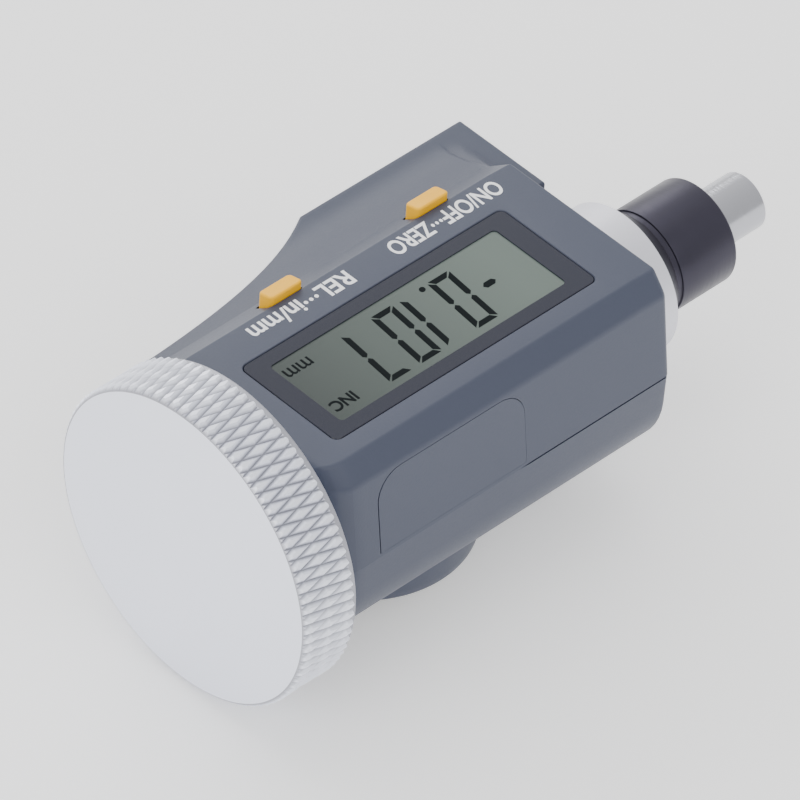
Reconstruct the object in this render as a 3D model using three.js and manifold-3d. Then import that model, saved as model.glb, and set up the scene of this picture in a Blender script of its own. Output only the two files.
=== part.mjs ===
// Digital micrometer head with a large knurled thimble disc.
//
// Frame: millimetres. The origin is the centre of the spindle's measuring face at rest, +X points
// out of the stem along the spindle axis, +Z is square to the display and +Y is the button side.

import * as THREE from 'three';
import { mergeVertices } from 'three/addons/utils/BufferGeometryUtils.js';
import Module from 'manifold-3d';

const wasm = await Module();
wasm.setup();

// ---------------------------------------------------------------- driving dimensions

const GAP = 0.3;                  // between fixed neighbours
const RUNNING_GAP = 0.25;         // radial, between a turning or sliding piece and its guide
const ROUND = 48;                 // sides of a round piece
const SMALL_ROUND = 20;           // sides of a screw or a small round piece

const SPINDLE_R = 3.25;
const SPINDLE_OUT = 6.95;         // measuring face to the front of the stem
const THREAD_STEP = 0.35;         // thread crests above the spindle
const THREAD_LENGTH = 17;
const JOURNAL_STEP = 0.25;        // thimble's seat below the spindle
const KEYWAY_WIDTH = 1.4;
const KEYWAY_DEPTH = 1.0;
const FEED_OUT = 0.5;             // travel towards the work from rest
const FEED_IN = 6.0;              // travel back from rest

const STEM_R = 6.0;
const STEM_LENGTH = 7.8;
const STEM_CHAMFER = 0.4;
const RELIEF_R = 5.8;
const RELIEF_LENGTH = 0.86;
const CONE_R = 6.1;
const CONE_LENGTH = 2.4;
const FLANGE_LENGTH = 0.6;        // straight part behind the cone, inside the barrel's lip
const SHANK_WALL = 1.75;
const SHANK_LENGTH = 7.5;

const BARREL_R = 8.5;
const BARREL_OUT = 5.8;           // barrel in front of the housing
const GUIDE_LENGTH = 9.5;         // plain bearing of the spindle behind the shank
const BARREL_LIP = 0.15;          // ring round the foot of the cone
const CHAMBER_WALL = 1.3;         // round the encoder and feed nut
const HUB_WALL = 1.55;            // encoder rotor's hub round the spindle
const COLLET_WALL = 1.4;          // feed nut's collet round the thread

const HOUSING_LENGTH = 46.2;
const WALL = 1.5;
const PARTING_GAP = 0.3;
const FACE_Z = 12.5;              // display face above the axis
const BACK_Z = 12.4;              // back face below the axis
const FACE_LOW_Y = -10.6;         // display face edge away from the buttons
const FACE_HIGH_Y = 10.3;         // display face edge at the buttons
const SHOULDER_Y = -12.5;         // foot of the long chamfer away from the buttons
const SHOULDER_Z = 10.2;
const SIDE_Y = -13.8;             // widest line of the plain side, at the parting line
const STRIP_Y = 13.4;             // foot of the button chamfer
const STRIP_Z = 10.1;
const FLANK_Y = 15.3;             // button side where it meets the wing
const BACK_SIDE_Y = -13.3;        // plain side where the back's round begins
const BACK_SIDE_STEP = 0.35;      // its draft up to the parting line
const BACK_ROUND_R = 8.8;
const CORNER_R_FRONT = 0.7;
const CORNER_R_BACK = 3.5;

const WING_Y = 21.9;
const WING_Z = 7.85;              // half thickness of the wing
const WING_LEAD = 4.4;            // wing in front of the housing
const WING_INNER_Y = 9.4;         // inner end of the lead, clear of the barrel
const WING_STRAIGHT = 22.6;
const WING_SWEEP = [9.6, 0.9];    // pull point of the hollow edge, behind the straight and off the flank
const WING_ROOT = 0.3;            // edge inside the flank at the thimble end
const WING_HOLLOW_WIDTH = 7.4;
const WING_HOLLOW_BEND = 0.52;
const WING_HOLLOW_STEPS = 12;
const WING_CORNER_R = 0.3;

const LENS_LENGTH = 35.9;
const LENS_LOW_Y = -8.0;
const LENS_HIGH_Y = 5.85;
const LENS_BACK_MARGIN = 4.6;     // lens to the thimble end of the housing
const LENS_THICKNESS = 0.9;
const LENS_LEDGE = 0.9;
const LENS_CORNER_R = 0.8;
const LCD_THICKNESS = 1.0;
const LCD_MARGIN = 1.2;           // lens edge to display glass edge
const BOARD_THICKNESS = 0.6;

const BUTTON_LENGTH = 4.3;
const BUTTON_WIDTH = 2.05;
const BUTTON_IN = 0.1;            // near side from the edge of the display face
const BUTTON_PROUD = 0.95;        // near edge above the display face
const BUTTON_SLOPE = 0.25;        // fall of the top per millimetre towards the wing
const BUTTON_TRAVEL = 0.5;
const BUTTON_DEPTH = 4.4;         // underside of the flange below the display face
const BUTTON_FLANGE = [0.7, 0.6]; // reach past each end, thickness
const BUTTON_FLANGE_Y = [-0.2, 1.8]; // its sides from the button's near side
const SWITCH = [3.4, 2.4, 1.1];
const SWITCH_BOARD = [3.8, 0.6];  // width, thickness
const ZERO_BUTTON_IN = 8.6;       // button end behind the front of the housing
const BUTTON_PITCH = 20.2;

const THIMBLE_R = 17.84;
const THIMBLE_WIDTH = 7.3;
const THIMBLE_GAP = 0.8;          // thimble to housing at rest
const THIMBLE_BEVEL = 0.45;
const THIMBLE_FLOOR = 2.6;        // solid metal behind the spindle's end
const SET_SCREW_R = 1.5;
const SET_SCREW_ANGLE = Math.PI * 1.205;

const BATTERY_IN = 18.3;          // cell centre from the thimble end of the housing
const BATTERY_Y = 1.9;
const CELL_R = 10.0;
const CELL_THICKNESS = 3.2;
const BOSS_R = 12.4;
const BOSS_DROP = 1.2;
const COVER_PROUD = 0.2;          // battery cover beyond the boss
const COVER_R = 10.9;
const COVER_THICKNESS = 1.1;
const COIN_SLOT = [13, 1.7, 0.5];

const SIDE_COVER_LENGTH = 20;
const SIDE_COVER_IN = 6.0;        // cover end from the thimble end of the housing
const SIDE_COVER_TOP = 9.7;
const SIDE_COVER_CORNER_R = 3.2;

const CASE_SCREW_R = 0.85;
const CASE_SCREW_HEAD_R = 1.7;
const CASE_SCREW_HEAD = 1.1;
const CASE_SCREW_TIP_Z = 5;
const CASE_SOCKET_R = 0.75;
const CASE_SOCKET_DEPTH = 0.6;
const CASE_BOSS_R = 1.85;
const COUNTERBORE_WALL = 0.9;
const CASE_SCREW_SINK = 4.0;      // head below the back face
const WING_SCREW_SINK = 0.6;
const SIDE_SCREW_IN = 3.9;        // from the widest line of the plain side

const RIB_THICKNESS = 1.2;
const FRONT_RIB_IN = 3.2;
const BACK_RIB_IN = 5.2;
const BOARD_END_GAP = 1.2;
const BOARD_EDGES = [0.9, 1.4];   // inside the low and high edges of the display face

const STATOR_THICKNESS = 1.2;
const ROTOR_THICKNESS = 1.1;
const ENCODER_GAP = 0.6;
const WASHER_SPACE = 1.55;
const BEARING_LENGTH = 5;
const KEY_LENGTH = 2.6;
const COLLET_LENGTH = 6;
const BARREL_SETBACK = 1.1;       // barrel and thread end inside the housing
const KEY_WIDTH = 1.0;
const KEY_SLOT_WIDTH = 1.4;
const COLLET_SLIT = [5, 8, 0.5];
const ADJUSTING_NUT_LENGTH = 4.5;
const SPINDLE_EDGE = 0.15;
const THREAD_LEAD_IN = 1;

const CHIP = [6, 3, 1.2];
const SEAL_THICKNESS = 0.7;
const CLIP = [0.4, 5];            // positive contact: thickness, width
const NEGATIVE_PLATE = [6, 4, 0.2];
const SOCKET_DEPTH = 1.4;
const SOCKET_END_IN = 4;          // from the ends of the side cover
const SOCKET_Z = [2, 7];

const THIMBLE_SIDES = 72;
const SET_SCREW_IN = 3.4;         // from the housing side of the thimble
const SET_SCREW_SINK = 0.35;
const SET_SOCKET = [0.8, 1.8];    // radius, depth
const SET_SCREW_PLAY = 0.2;

const THREAD_R = SPINDLE_R + THREAD_STEP;
const JOURNAL_R = SPINDLE_R - JOURNAL_STEP;
const SHANK_R = SPINDLE_R + SHANK_WALL;
const HUB_R = SPINDLE_R + HUB_WALL;
const COLLET_R = THREAD_R + COLLET_WALL;
const CHAMBER_R = BARREL_R - CHAMBER_WALL;
const CONE_BASE_R = BARREL_R - BARREL_LIP - GAP;
const SIDES = 30;                 // half reach of the cutting boxes across the case

// ---------------------------------------------------------------- stations along the axis

const stemFace = -SPINDLE_OUT;
const reliefX = stemFace - STEM_LENGTH;
const coneX = reliefX - RELIEF_LENGTH;
const flangeX = coneX - CONE_LENGTH;
const barrelFront = flangeX - FLANGE_LENGTH;
const front = barrelFront - BARREL_OUT;
const back = front - HOUSING_LENGTH;
const thimbleFront = back - THIMBLE_GAP;
const thimbleFace = thimbleFront - THIMBLE_WIDTH;
const wingFront = front + WING_LEAD;
const guideX = barrelFront - SHANK_LENGTH - GAP;
const chamberX = guideX - GUIDE_LENGTH;
const barrelBack = back + BARREL_SETBACK;
const batteryX = back + BATTERY_IN;
const journalEnd = thimbleFace + THIMBLE_FLOOR + GAP;
const threadBack = barrelBack;
const threadFront = threadBack + THREAD_LENGTH;

// ---------------------------------------------------------------- solid helpers

function signedVolume(geometry) {
  const p = geometry.attributes.position;
  const index = geometry.index;
  const [a, b, c] = [new THREE.Vector3(), new THREE.Vector3(), new THREE.Vector3()];
  let sum = 0;
  for (let i = 0; i < index.count; i += 3) {
    a.fromBufferAttribute(p, index.getX(i));
    b.fromBufferAttribute(p, index.getX(i + 1));
    c.fromBufferAttribute(p, index.getX(i + 2));
    sum += a.dot(b.cross(c)) / 6;
  }
  return sum;
}

function solid(source) {
  const bare = source.clone();
  bare.deleteAttribute('normal');
  bare.deleteAttribute('uv');
  const geometry = mergeVertices(bare, 1e-4);
  const triVerts = Uint32Array.from(geometry.index.array);
  if (signedVolume(geometry) < 0) {
    for (let i = 0; i < triVerts.length; i += 3) {
      [triVerts[i], triVerts[i + 1]] = [triVerts[i + 1], triVerts[i]];
    }
  }
  const vertProperties = Float32Array.from(geometry.attributes.position.array);
  return new wasm.Manifold(new wasm.Mesh({ numProp: 3, vertProperties, triVerts }));
}

function join(first, ...others) {
  return others.reduce((sum, part) => sum.add(part), first);
}

function cut(first, ...tools) {
  return tools.reduce((rest, tool) => rest.subtract(tool), first);
}

function common(first, second) {
  return first.intersect(second);
}

function box(x0, x1, y0, y1, z0, z1) {
  const geometry = new THREE.BoxGeometry(Math.abs(x1 - x0), y1 - y0, z1 - z0);
  geometry.translate((x0 + x1) / 2, (y0 + y1) / 2, (z0 + z1) / 2);
  return solid(geometry);
}

// A turned piece: profile points are [x, radius], and the outline closes on the axis or on itself.
function turned(profile, sides = ROUND) {
  const points = profile.map(([x, r]) => new THREE.Vector2(r, x));
  const geometry = new THREE.LatheGeometry(points, sides);
  geometry.rotateZ(-Math.PI / 2);
  return solid(geometry);
}

function rod(x0, x1, r, sides = ROUND) {
  return turned([[x0, 0], [x0, r], [x1, r], [x1, 0]], sides);
}

function tube(x0, x1, inner, outer, sides = ROUND) {
  return turned([[x0, inner], [x0, outer], [x1, outer], [x1, inner], [x0, inner]], sides);
}

function post(x, y, r, z0, z1, sides = SMALL_ROUND) {
  const geometry = new THREE.CylinderGeometry(r, r, z1 - z0, sides);
  geometry.rotateX(Math.PI / 2);
  geometry.translate(x, y, (z0 + z1) / 2);
  return solid(geometry);
}

function ringZ(x, y, inner, outer, z0, z1, sides = ROUND) {
  return cut(post(x, y, outer, z0, z1, sides), post(x, y, inner, z0 - 1, z1 + 1, sides));
}

function outline(points) {
  return new THREE.Shape(points.map(([u, v]) => new THREE.Vector2(u, v)));
}

// An outline in (y, z) carried along X.
function prismX(shape, x0, x1, curveSegments = 8) {
  const options = { depth: x1 - x0, bevelEnabled: false, curveSegments };
  const geometry = new THREE.ExtrudeGeometry(shape, options);
  geometry.applyMatrix4(new THREE.Matrix4().set(0, 0, 1, x0, 1, 0, 0, 0, 0, 1, 0, 0, 0, 0, 0, 1));
  return solid(geometry);
}

// An outline in (x, y) carried along Z.
function prismZ(shape, z0, z1, curveSegments = 8) {
  const options = { depth: z1 - z0, bevelEnabled: false, curveSegments };
  const geometry = new THREE.ExtrudeGeometry(shape, options);
  geometry.translate(0, 0, z0);
  return solid(geometry);
}

// An outline in (x, z) carried along Y.
function prismY(shape, y0, y1, curveSegments = 8) {
  const options = { depth: y1 - y0, bevelEnabled: false, curveSegments };
  const geometry = new THREE.ExtrudeGeometry(shape, options);
  geometry.applyMatrix4(new THREE.Matrix4().set(1, 0, 0, 0, 0, 0, -1, y1, 0, 1, 0, 0, 0, 0, 0, 1));
  return solid(geometry);
}

// A rectangle with its own radius at each corner: low-low, high-low, high-high, low-high.
function roundedRect(u0, u1, v0, v1, radii) {
  const [a, b, c, d] = radii;
  const shape = new THREE.Shape();
  shape.moveTo(u0 + a, v0);
  shape.lineTo(u1 - b, v0);
  if (b > 0) shape.absarc(u1 - b, v0 + b, b, -Math.PI / 2, 0);
  shape.lineTo(u1, v1 - c);
  if (c > 0) shape.absarc(u1 - c, v1 - c, c, 0, Math.PI / 2);
  shape.lineTo(u0 + d, v1);
  if (d > 0) shape.absarc(u0 + d, v1 - d, d, Math.PI / 2, Math.PI);
  shape.lineTo(u0, v0 + a);
  if (a > 0) shape.absarc(u0 + a, v0 + a, a, Math.PI, Math.PI * 1.5);
  return shape;
}

// ---------------------------------------------------------------- materials

function finish(color, roughness, metalness) {
  return new THREE.MeshStandardMaterial({ color, roughness, metalness });
}

const casePlastic = () => finish(0x686d7f, 0.55, 0);
const blackPlastic = () => finish(0x1c1d20, 0.5, 0);
const yellowPlastic = () => finish(0xf0be6e, 0.45, 0);
const lensPlastic = () => finish(0x484b59, 0.12, 0);
const glass = () => finish(0xaab6ae, 0.1, 0);
const groundSteel = () => finish(0xb9bbbf, 0.28, 1);
const blackSteel = () => finish(0x2e2a2d, 0.4, 0.8);
const matteSilver = () => finish(0xd2d3da, 0.5, 0.9);
const brass = () => finish(0xb08d4a, 0.35, 1);
const boardLaminate = () => finish(0x1f5a3a, 0.6, 0);
const springSteel = () => finish(0xc9c6bd, 0.3, 1);
const rubber = () => finish(0x232323, 0.9, 0);

const group = new THREE.Group();

function add(name, shape, material) {
  const { vertProperties, triVerts, numProp } = shape.getMesh();
  const position = new Float32Array((vertProperties.length / numProp) * 3);
  for (let i = 0; i < position.length / 3; i += 1) {
    position.set(vertProperties.subarray(i * numProp, i * numProp + 3), i * 3);
  }
  const geometry = new THREE.BufferGeometry();
  geometry.setAttribute('position', new THREE.BufferAttribute(position, 3));
  geometry.setIndex(new THREE.BufferAttribute(Uint32Array.from(triVerts), 1));
  geometry.computeVertexNormals();
  const mesh = new THREE.Mesh(geometry, material);
  mesh.name = name;
  group.add(mesh);
}

// ---------------------------------------------------------------- housing outlines

// Section of the case in (y, z) as half outlines; inset shrinks it by the wall.
function frontSection(inset) {
  return outline([
    [SIDE_Y + inset, 0],
    [SHOULDER_Y + inset, SHOULDER_Z - inset * 0.3],
    [FACE_LOW_Y + inset * 0.7, FACE_Z - inset],
    [FACE_HIGH_Y - inset * 0.35, FACE_Z - inset],
    [STRIP_Y - inset * 0.8, STRIP_Z - inset * 0.6],
    [FLANK_Y - inset, WING_Z - inset],
    [FLANK_Y - inset, 0],
  ]);
}

function backSection(inset) {
  const shape = new THREE.Shape();
  const [roundY, roundZ] = [BACK_SIDE_Y + BACK_ROUND_R, -BACK_Z + BACK_ROUND_R];
  shape.moveTo(BACK_SIDE_Y - BACK_SIDE_STEP + inset, 0);
  shape.lineTo(BACK_SIDE_Y + inset, roundZ);
  shape.absarc(roundY, roundZ, BACK_ROUND_R - inset, Math.PI, Math.PI * 1.5);
  shape.lineTo(FACE_HIGH_Y - inset * 0.35, -BACK_Z + inset);
  shape.lineTo(STRIP_Y - inset * 0.8, -STRIP_Z + inset * 0.6);
  shape.lineTo(FLANK_Y - inset, -WING_Z + inset);
  shape.lineTo(FLANK_Y - inset, 0);
  return shape;
}

// Plan of the case in (x, y).
function casePlan(inset) {
  const cornerBack = Math.max(CORNER_R_BACK - inset, 0.5);
  const cornerFront = Math.max(CORNER_R_FRONT - inset, 0.3);
  const radii = [cornerBack, cornerFront, cornerFront, 0];
  return roundedRect(back + inset, front - inset, SIDE_Y + inset, FLANK_Y - inset, radii);
}

// Plan of the wing in (x, y): straight outer edge, then one hollow curve back to the thimble end.
function wingPlan(inset) {
  const outer = WING_Y - inset;
  const straightEnd = wingFront - WING_STRAIGHT;
  const corner = Math.max(WING_CORNER_R - inset, 0.1);
  const shape = new THREE.Shape();
  const innerY = WING_INNER_Y + inset;
  shape.moveTo(back + inset, innerY);
  shape.lineTo(wingFront - inset, innerY);
  shape.lineTo(wingFront - inset, outer - corner);
  shape.absarc(wingFront - inset - corner, outer - corner, corner, 0, Math.PI / 2);
  shape.lineTo(straightEnd, outer);
  const [pullX, pullY] = WING_SWEEP;
  shape.quadraticCurveTo(straightEnd - pullX, FLANK_Y + pullY - inset,
    back + inset, FLANK_Y - WING_ROOT - inset);
  return shape;
}

// Section of the wing in (y, z), with the hollow that falls from the button chamfer.
function wingSection(inset, side) {
  const top = (WING_Z - inset) * side;
  const shape = new THREE.Shape();
  shape.moveTo(WING_INNER_Y + inset, 0);
  shape.lineTo(WING_INNER_Y + inset, top);
  shape.lineTo(STRIP_Y - inset * 0.8 - 0.6, top);
  const rise = (STRIP_Z - WING_Z + inset * 0.2) * side;
  for (let i = 0; i <= WING_HOLLOW_STEPS; i += 1) {
    const t = i / WING_HOLLOW_STEPS;
    const y = STRIP_Y + WING_HOLLOW_WIDTH * t - inset * (0.8 - 0.3 * t);
    shape.lineTo(y, top + rise * (1 - t) ** 2 * (1 + WING_HOLLOW_BEND * t));
  }
  shape.lineTo(WING_Y - inset, top);
  shape.lineTo(WING_Y - inset, 0);
  return shape;
}

function wingBody(inset, side) {
  const reach = FACE_Z + 1;
  const [low, high] = side > 0 ? [-1, reach] : [-reach, 1];
  const full = common(
    prismX(wingSection(inset, side), back + inset, front - inset),
    prismZ(wingPlan(inset), low, high),
  );
  const leadHeight = (WING_Z - inset) * side;
  const [z0, z1] = side > 0 ? [0, leadHeight] : [leadHeight, 0];
  const lead = common(
    box(front - inset - 4, wingFront + 1, WING_INNER_Y - 1, WING_Y + 1, z0, z1),
    prismZ(wingPlan(inset), low, high),
  );
  return join(full, lead);
}

function caseBody(inset, side) {
  const section = side > 0 ? frontSection(inset) : backSection(inset);
  const main = common(
    prismX(section, back + inset, front - inset),
    prismZ(casePlan(inset), -FACE_Z - 1, FACE_Z + 1),
  );
  return join(main, wingBody(inset, side));
}

// ---------------------------------------------------------------- placed features

const lensBack = back + LENS_BACK_MARGIN;
const lensFront = lensBack + LENS_LENGTH;
const lensUnder = FACE_Z - LENS_THICKNESS;
const ceiling = FACE_Z - WALL;
const lcdTop = ceiling - GAP / 2;
const lcdUnder = lcdTop - LCD_THICKNESS;
const boardTop = lcdUnder - GAP;
const boardUnder = boardTop - BOARD_THICKNESS;

const buttonFronts = [front - ZERO_BUTTON_IN, front - ZERO_BUTTON_IN - BUTTON_PITCH];
const buttonUnder = FACE_Z - BUTTON_DEPTH;
const flangeTop = buttonUnder + BUTTON_FLANGE[1];
const buttonSide = FACE_HIGH_Y + BUTTON_IN;
const buttonNames = ['zero', 'unit'];

const coverBack = back + SIDE_COVER_IN;
const coverFront = coverBack + SIDE_COVER_LENGTH;

// Place of each case screw in (x, y), and the level of its head's outer face.
const screwSpots = [
  [front - 6.4, SIDE_Y + SIDE_SCREW_IN, -BACK_Z + CASE_SCREW_SINK],
  [back + 7.3, SIDE_Y + SIDE_SCREW_IN, -BACK_Z + CASE_SCREW_SINK],
  [back + 4.6, STRIP_Y - 2.6, -BACK_Z + CASE_SCREW_SINK],
  [front - 4.5, WING_Y - 4.6, -WING_Z + WING_SCREW_SINK],
];

function coverWindow(gap) {
  const shape = roundedRect(coverBack - gap, coverFront + gap, PARTING_GAP / 2 + GAP - gap,
    SIDE_COVER_TOP + gap, [0, 0, SIDE_COVER_CORNER_R, SIDE_COVER_CORNER_R]);
  return prismY(shape, SIDE_Y - 1, SIDE_Y + 4);
}

// The button's flange, or with clearance round it and below it the space it moves in.
function buttonFlange(x1, gap, drop) {
  const [reach] = BUTTON_FLANGE;
  const [low, high] = BUTTON_FLANGE_Y;
  return box(x1 - BUTTON_LENGTH - reach - gap, x1 + reach + gap, buttonSide + low - gap,
    buttonSide + high + gap, buttonUnder - drop, flangeTop + gap);
}

function rib(x, side) {
  const [z0, z1] = side > 0 ? [0, boardUnder - GAP] : [-BACK_Z + WALL / 2, 0];
  const half = RIB_THICKNESS / 2;
  const plate = box(x - half, x + half, SIDE_Y + WALL / 2, FLANK_Y - WALL / 2, z0, z1);
  return common(plate, caseBody(WALL / 2, side));
}

function barrelSpace() {
  return rod(back - 1, front + 8, BARREL_R + GAP);
}

const ribStations = [front - FRONT_RIB_IN, back + BACK_RIB_IN];

// ---------------------------------------------------------------- case shells

function frontShell() {
  const hollow = cut(caseBody(WALL, 1), box(back, front, -SIDES, SIDES, -1, 0));
  const lensPocket = prismZ(roundedRect(lensBack - GAP / 2, lensFront + GAP / 2,
    LENS_LOW_Y - GAP / 2, LENS_HIGH_Y + GAP / 2, Array(4).fill(LENS_CORNER_R)),
  lensUnder - GAP / 2, FACE_Z + 1);
  const lensHole = box(lensBack + LENS_LEDGE, lensFront - LENS_LEDGE,
    LENS_LOW_Y + LENS_LEDGE, LENS_HIGH_Y - LENS_LEDGE, ceiling - 1, FACE_Z);
  const slots = buttonFronts.flatMap((x) => [
    box(x - BUTTON_LENGTH - GAP, x + GAP, buttonSide - GAP, buttonSide + BUTTON_WIDTH + GAP,
      buttonUnder, FACE_Z + 2),
    buttonFlange(x, GAP, BUTTON_TRAVEL + GAP),
  ]);
  const ribs = ribStations.map((x) => rib(x, 1));
  const posts = screwSpots.map(([x, y]) => common(
    post(x, y, CASE_BOSS_R, 0, FACE_Z), caseBody(WALL / 2, 1)));
  const lowPosts = posts.map((p) => cut(p, box(back, wingFront, FACE_LOW_Y - 4, FACE_HIGH_Y + 6,
    boardUnder - GAP, FACE_Z)));
  const pilots = screwSpots.map(([x, y]) => post(x, y, CASE_SCREW_R + RUNNING_GAP, -1,
    CASE_SCREW_TIP_Z + GAP));
  const whole = join(cut(caseBody(0, 1), hollow), ...ribs, ...lowPosts);
  const trimmed = cut(whole, box(back - 1, wingFront + 1, -SIDES, SIDES, -1, PARTING_GAP / 2));
  return cut(trimmed, barrelSpace(), lensPocket, lensHole, coverWindow(GAP / 2), ...slots, ...pilots);
}

function rearShell() {
  const hollow = cut(caseBody(WALL, -1), box(back, front, -SIDES, SIDES, 0, 1));
  const boss = post(batteryX, BATTERY_Y, BOSS_R, -BACK_Z - BOSS_DROP, -BARREL_R - 1, ROUND);
  const collar = ringZ(batteryX, BATTERY_Y, COVER_R + GAP, BOSS_R, -BACK_Z, -BARREL_R - 1);
  const keptCollar = common(collar, caseBody(WALL / 2, -1));
  const bore = post(batteryX, BATTERY_Y, COVER_R + GAP, -BACK_Z - BOSS_DROP - 1, -BARREL_R, ROUND);
  const ribs = ribStations.map((x) => rib(x, -1));
  const posts = screwSpots.map(([x, y]) => common(
    post(x, y, CASE_BOSS_R + COUNTERBORE_WALL, -BACK_Z, 0), caseBody(WALL / 2, -1)));
  const holes = screwSpots.flatMap(([x, y, headUnder]) => [
    post(x, y, CASE_SCREW_R + RUNNING_GAP, -BACK_Z - 1, 1),
    post(x, y, CASE_SCREW_HEAD_R + RUNNING_GAP, -BACK_Z - 1, headUnder + CASE_SCREW_HEAD + GAP / 2),
  ]);
  const whole = join(cut(join(caseBody(0, -1), boss), hollow), keptCollar, ...ribs, ...posts);
  const trimmed = cut(whole, box(back - 1, wingFront + 1, -SIDES, SIDES, -PARTING_GAP / 2, 1));
  return cut(trimmed, barrelSpace(), bore, ...holes);
}

function sideCover() {
  const skin = cut(caseBody(0, 1), caseBody(WALL, 1));
  return common(skin, coverWindow(0));
}

function caseScrew([x, y, headUnder]) {
  const headTop = headUnder + CASE_SCREW_HEAD;
  const socket = post(x, y, CASE_SOCKET_R, headUnder - 1, headUnder + CASE_SOCKET_DEPTH, 6);
  const body = join(
    post(x, y, CASE_SCREW_HEAD_R, headUnder, headTop),
    post(x, y, CASE_SCREW_R, headTop - 0.1, CASE_SCREW_TIP_Z),
  );
  return cut(body, socket);
}

add('front_shell', frontShell(), casePlastic());
add('rear_shell', rearShell(), casePlastic());
add('side_cover', sideCover(), casePlastic());
screwSpots.forEach((spot, i) => add(`case_screw_${i + 1}`, caseScrew(spot), blackSteel()));

// ---------------------------------------------------------------- display

const lcdBox = [lensBack + LCD_MARGIN, lensFront - LCD_MARGIN,
  LENS_LOW_Y + LCD_MARGIN * 0.5, LENS_HIGH_Y - LCD_MARGIN * 0.5];

function displayLens() {
  const plan = roundedRect(lensBack, lensFront, LENS_LOW_Y, LENS_HIGH_Y, Array(4).fill(LENS_CORNER_R));
  return prismZ(plan, lensUnder, FACE_Z);
}

function lcdFrame() {
  const [x0, x1, y0, y1] = lcdBox;
  const rim = 0.8 + GAP;
  return cut(
    box(x0 - rim, x1 + rim, y0 - rim, y1 + rim, lcdUnder + 0.1, lcdTop),
    box(x0 - GAP, x1 + GAP, y0 - GAP, y1 + GAP, lcdUnder - 1, lcdTop + 1),
  );
}

add('display_lens', displayLens(), lensPlastic());
add('lcd_panel', box(...lcdBox, lcdUnder, lcdTop - 0.05), glass());
add('lcd_frame', lcdFrame(), blackPlastic());
const stripY = lcdBox[3] + 0.8 + 2 * GAP;
add('zebra_connector', box(lcdBox[0] + 2, lcdBox[1] - 2, stripY, stripY + 1.2,
  boardTop + 0.1, lcdTop - 0.1), rubber());

// ---------------------------------------------------------------- electronics

const boardBack = back + WALL + BOARD_END_GAP;
const boardFront = front - WALL - BOARD_END_GAP;
add('circuit_board', box(boardBack, boardFront, FACE_LOW_Y + BOARD_EDGES[0],
  FACE_HIGH_Y - BOARD_EDGES[1], boardUnder, boardTop), boardLaminate());
const chipY = FACE_LOW_Y + 1.2;
const chipTop = boardUnder - 0.1;
add('processor_chip', box(batteryX - CHIP[0] / 2, batteryX + CHIP[0] / 2, chipY, chipY + CHIP[1],
  chipTop - CHIP[2], chipTop), blackPlastic());

const switchTop = buttonUnder - BUTTON_TRAVEL - 0.1;
const switchUnder = switchTop - SWITCH[2];
const keyY = buttonSide + BUTTON_WIDTH / 2;
const keyBoardBack = buttonFronts[1] - BUTTON_LENGTH - 1;
const keyBoardTop = switchUnder - 0.1;
add('switch_board', box(keyBoardBack, buttonFronts[0] + 1, keyY - SWITCH_BOARD[0] / 2,
  keyY + SWITCH_BOARD[0] / 2, keyBoardTop - SWITCH_BOARD[1], keyBoardTop), boardLaminate());

// ---------------------------------------------------------------- buttons and their switches

// Block with a sloping top, and a flange that keeps it in the case.
function button(x1) {
  const y1 = buttonSide + BUTTON_WIDTH;
  const top = FACE_Z + BUTTON_PROUD;
  const block = prismX(outline([
    [buttonSide, flangeTop - 0.1], [y1, flangeTop - 0.1],
    [y1, top - BUTTON_SLOPE * BUTTON_WIDTH], [buttonSide, top],
  ]), x1 - BUTTON_LENGTH, x1);
  return join(block, buttonFlange(x1, 0, 0));
}

buttonFronts.forEach((x1, i) => {
  const middle = x1 - BUTTON_LENGTH / 2;
  const [length, width] = SWITCH;
  add(`${buttonNames[i]}_button`, button(x1), yellowPlastic());
  add(`${buttonNames[i]}_switch`, box(middle - length / 2, middle + length / 2,
    keyY - width / 2, keyY + width / 2, switchUnder, switchTop), blackPlastic());
});

// ---------------------------------------------------------------- battery

const coverUnder = -BACK_Z - BOSS_DROP - COVER_PROUD;
const coverTop = coverUnder + COVER_THICKNESS;
const cellUnder = coverTop + 0.15;
const cellTop = cellUnder + CELL_THICKNESS;

function batteryCover() {
  const [length, width, depth] = COIN_SLOT;
  return cut(
    post(batteryX, BATTERY_Y, COVER_R, coverUnder, coverTop, ROUND),
    box(batteryX - length / 2, batteryX + length / 2, BATTERY_Y - width / 2, BATTERY_Y + width / 2,
      coverUnder - 1, coverUnder + depth),
  );
}

add('battery_cover', batteryCover(), blackPlastic());
add('battery_cell', post(batteryX, BATTERY_Y, CELL_R, cellUnder, cellTop, ROUND), springSteel());
const sealUnder = coverTop + 0.1;
const sealTop = sealUnder + SEAL_THICKNESS;
add('battery_seal', ringZ(batteryX, BATTERY_Y, CELL_R + 0.2, COVER_R, sealUnder, sealTop), rubber());
const clipX = batteryX + CELL_R + 0.2;
add('positive_contact', box(clipX, clipX + CLIP[0], BATTERY_Y - CLIP[1] / 2, BATTERY_Y + CLIP[1] / 2,
  sealTop + GAP, cellTop + 0.5), brass());
const [plateLength, plateWidth, plateThickness] = NEGATIVE_PLATE;
const plateUnder = cellTop + 0.1;
add('negative_contact', box(batteryX - plateLength / 2, batteryX + plateLength / 2,
  BATTERY_Y - plateWidth / 2, BATTERY_Y + plateWidth / 2, plateUnder, plateUnder + plateThickness),
brass());

// ---------------------------------------------------------------- stem and barrel

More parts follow.
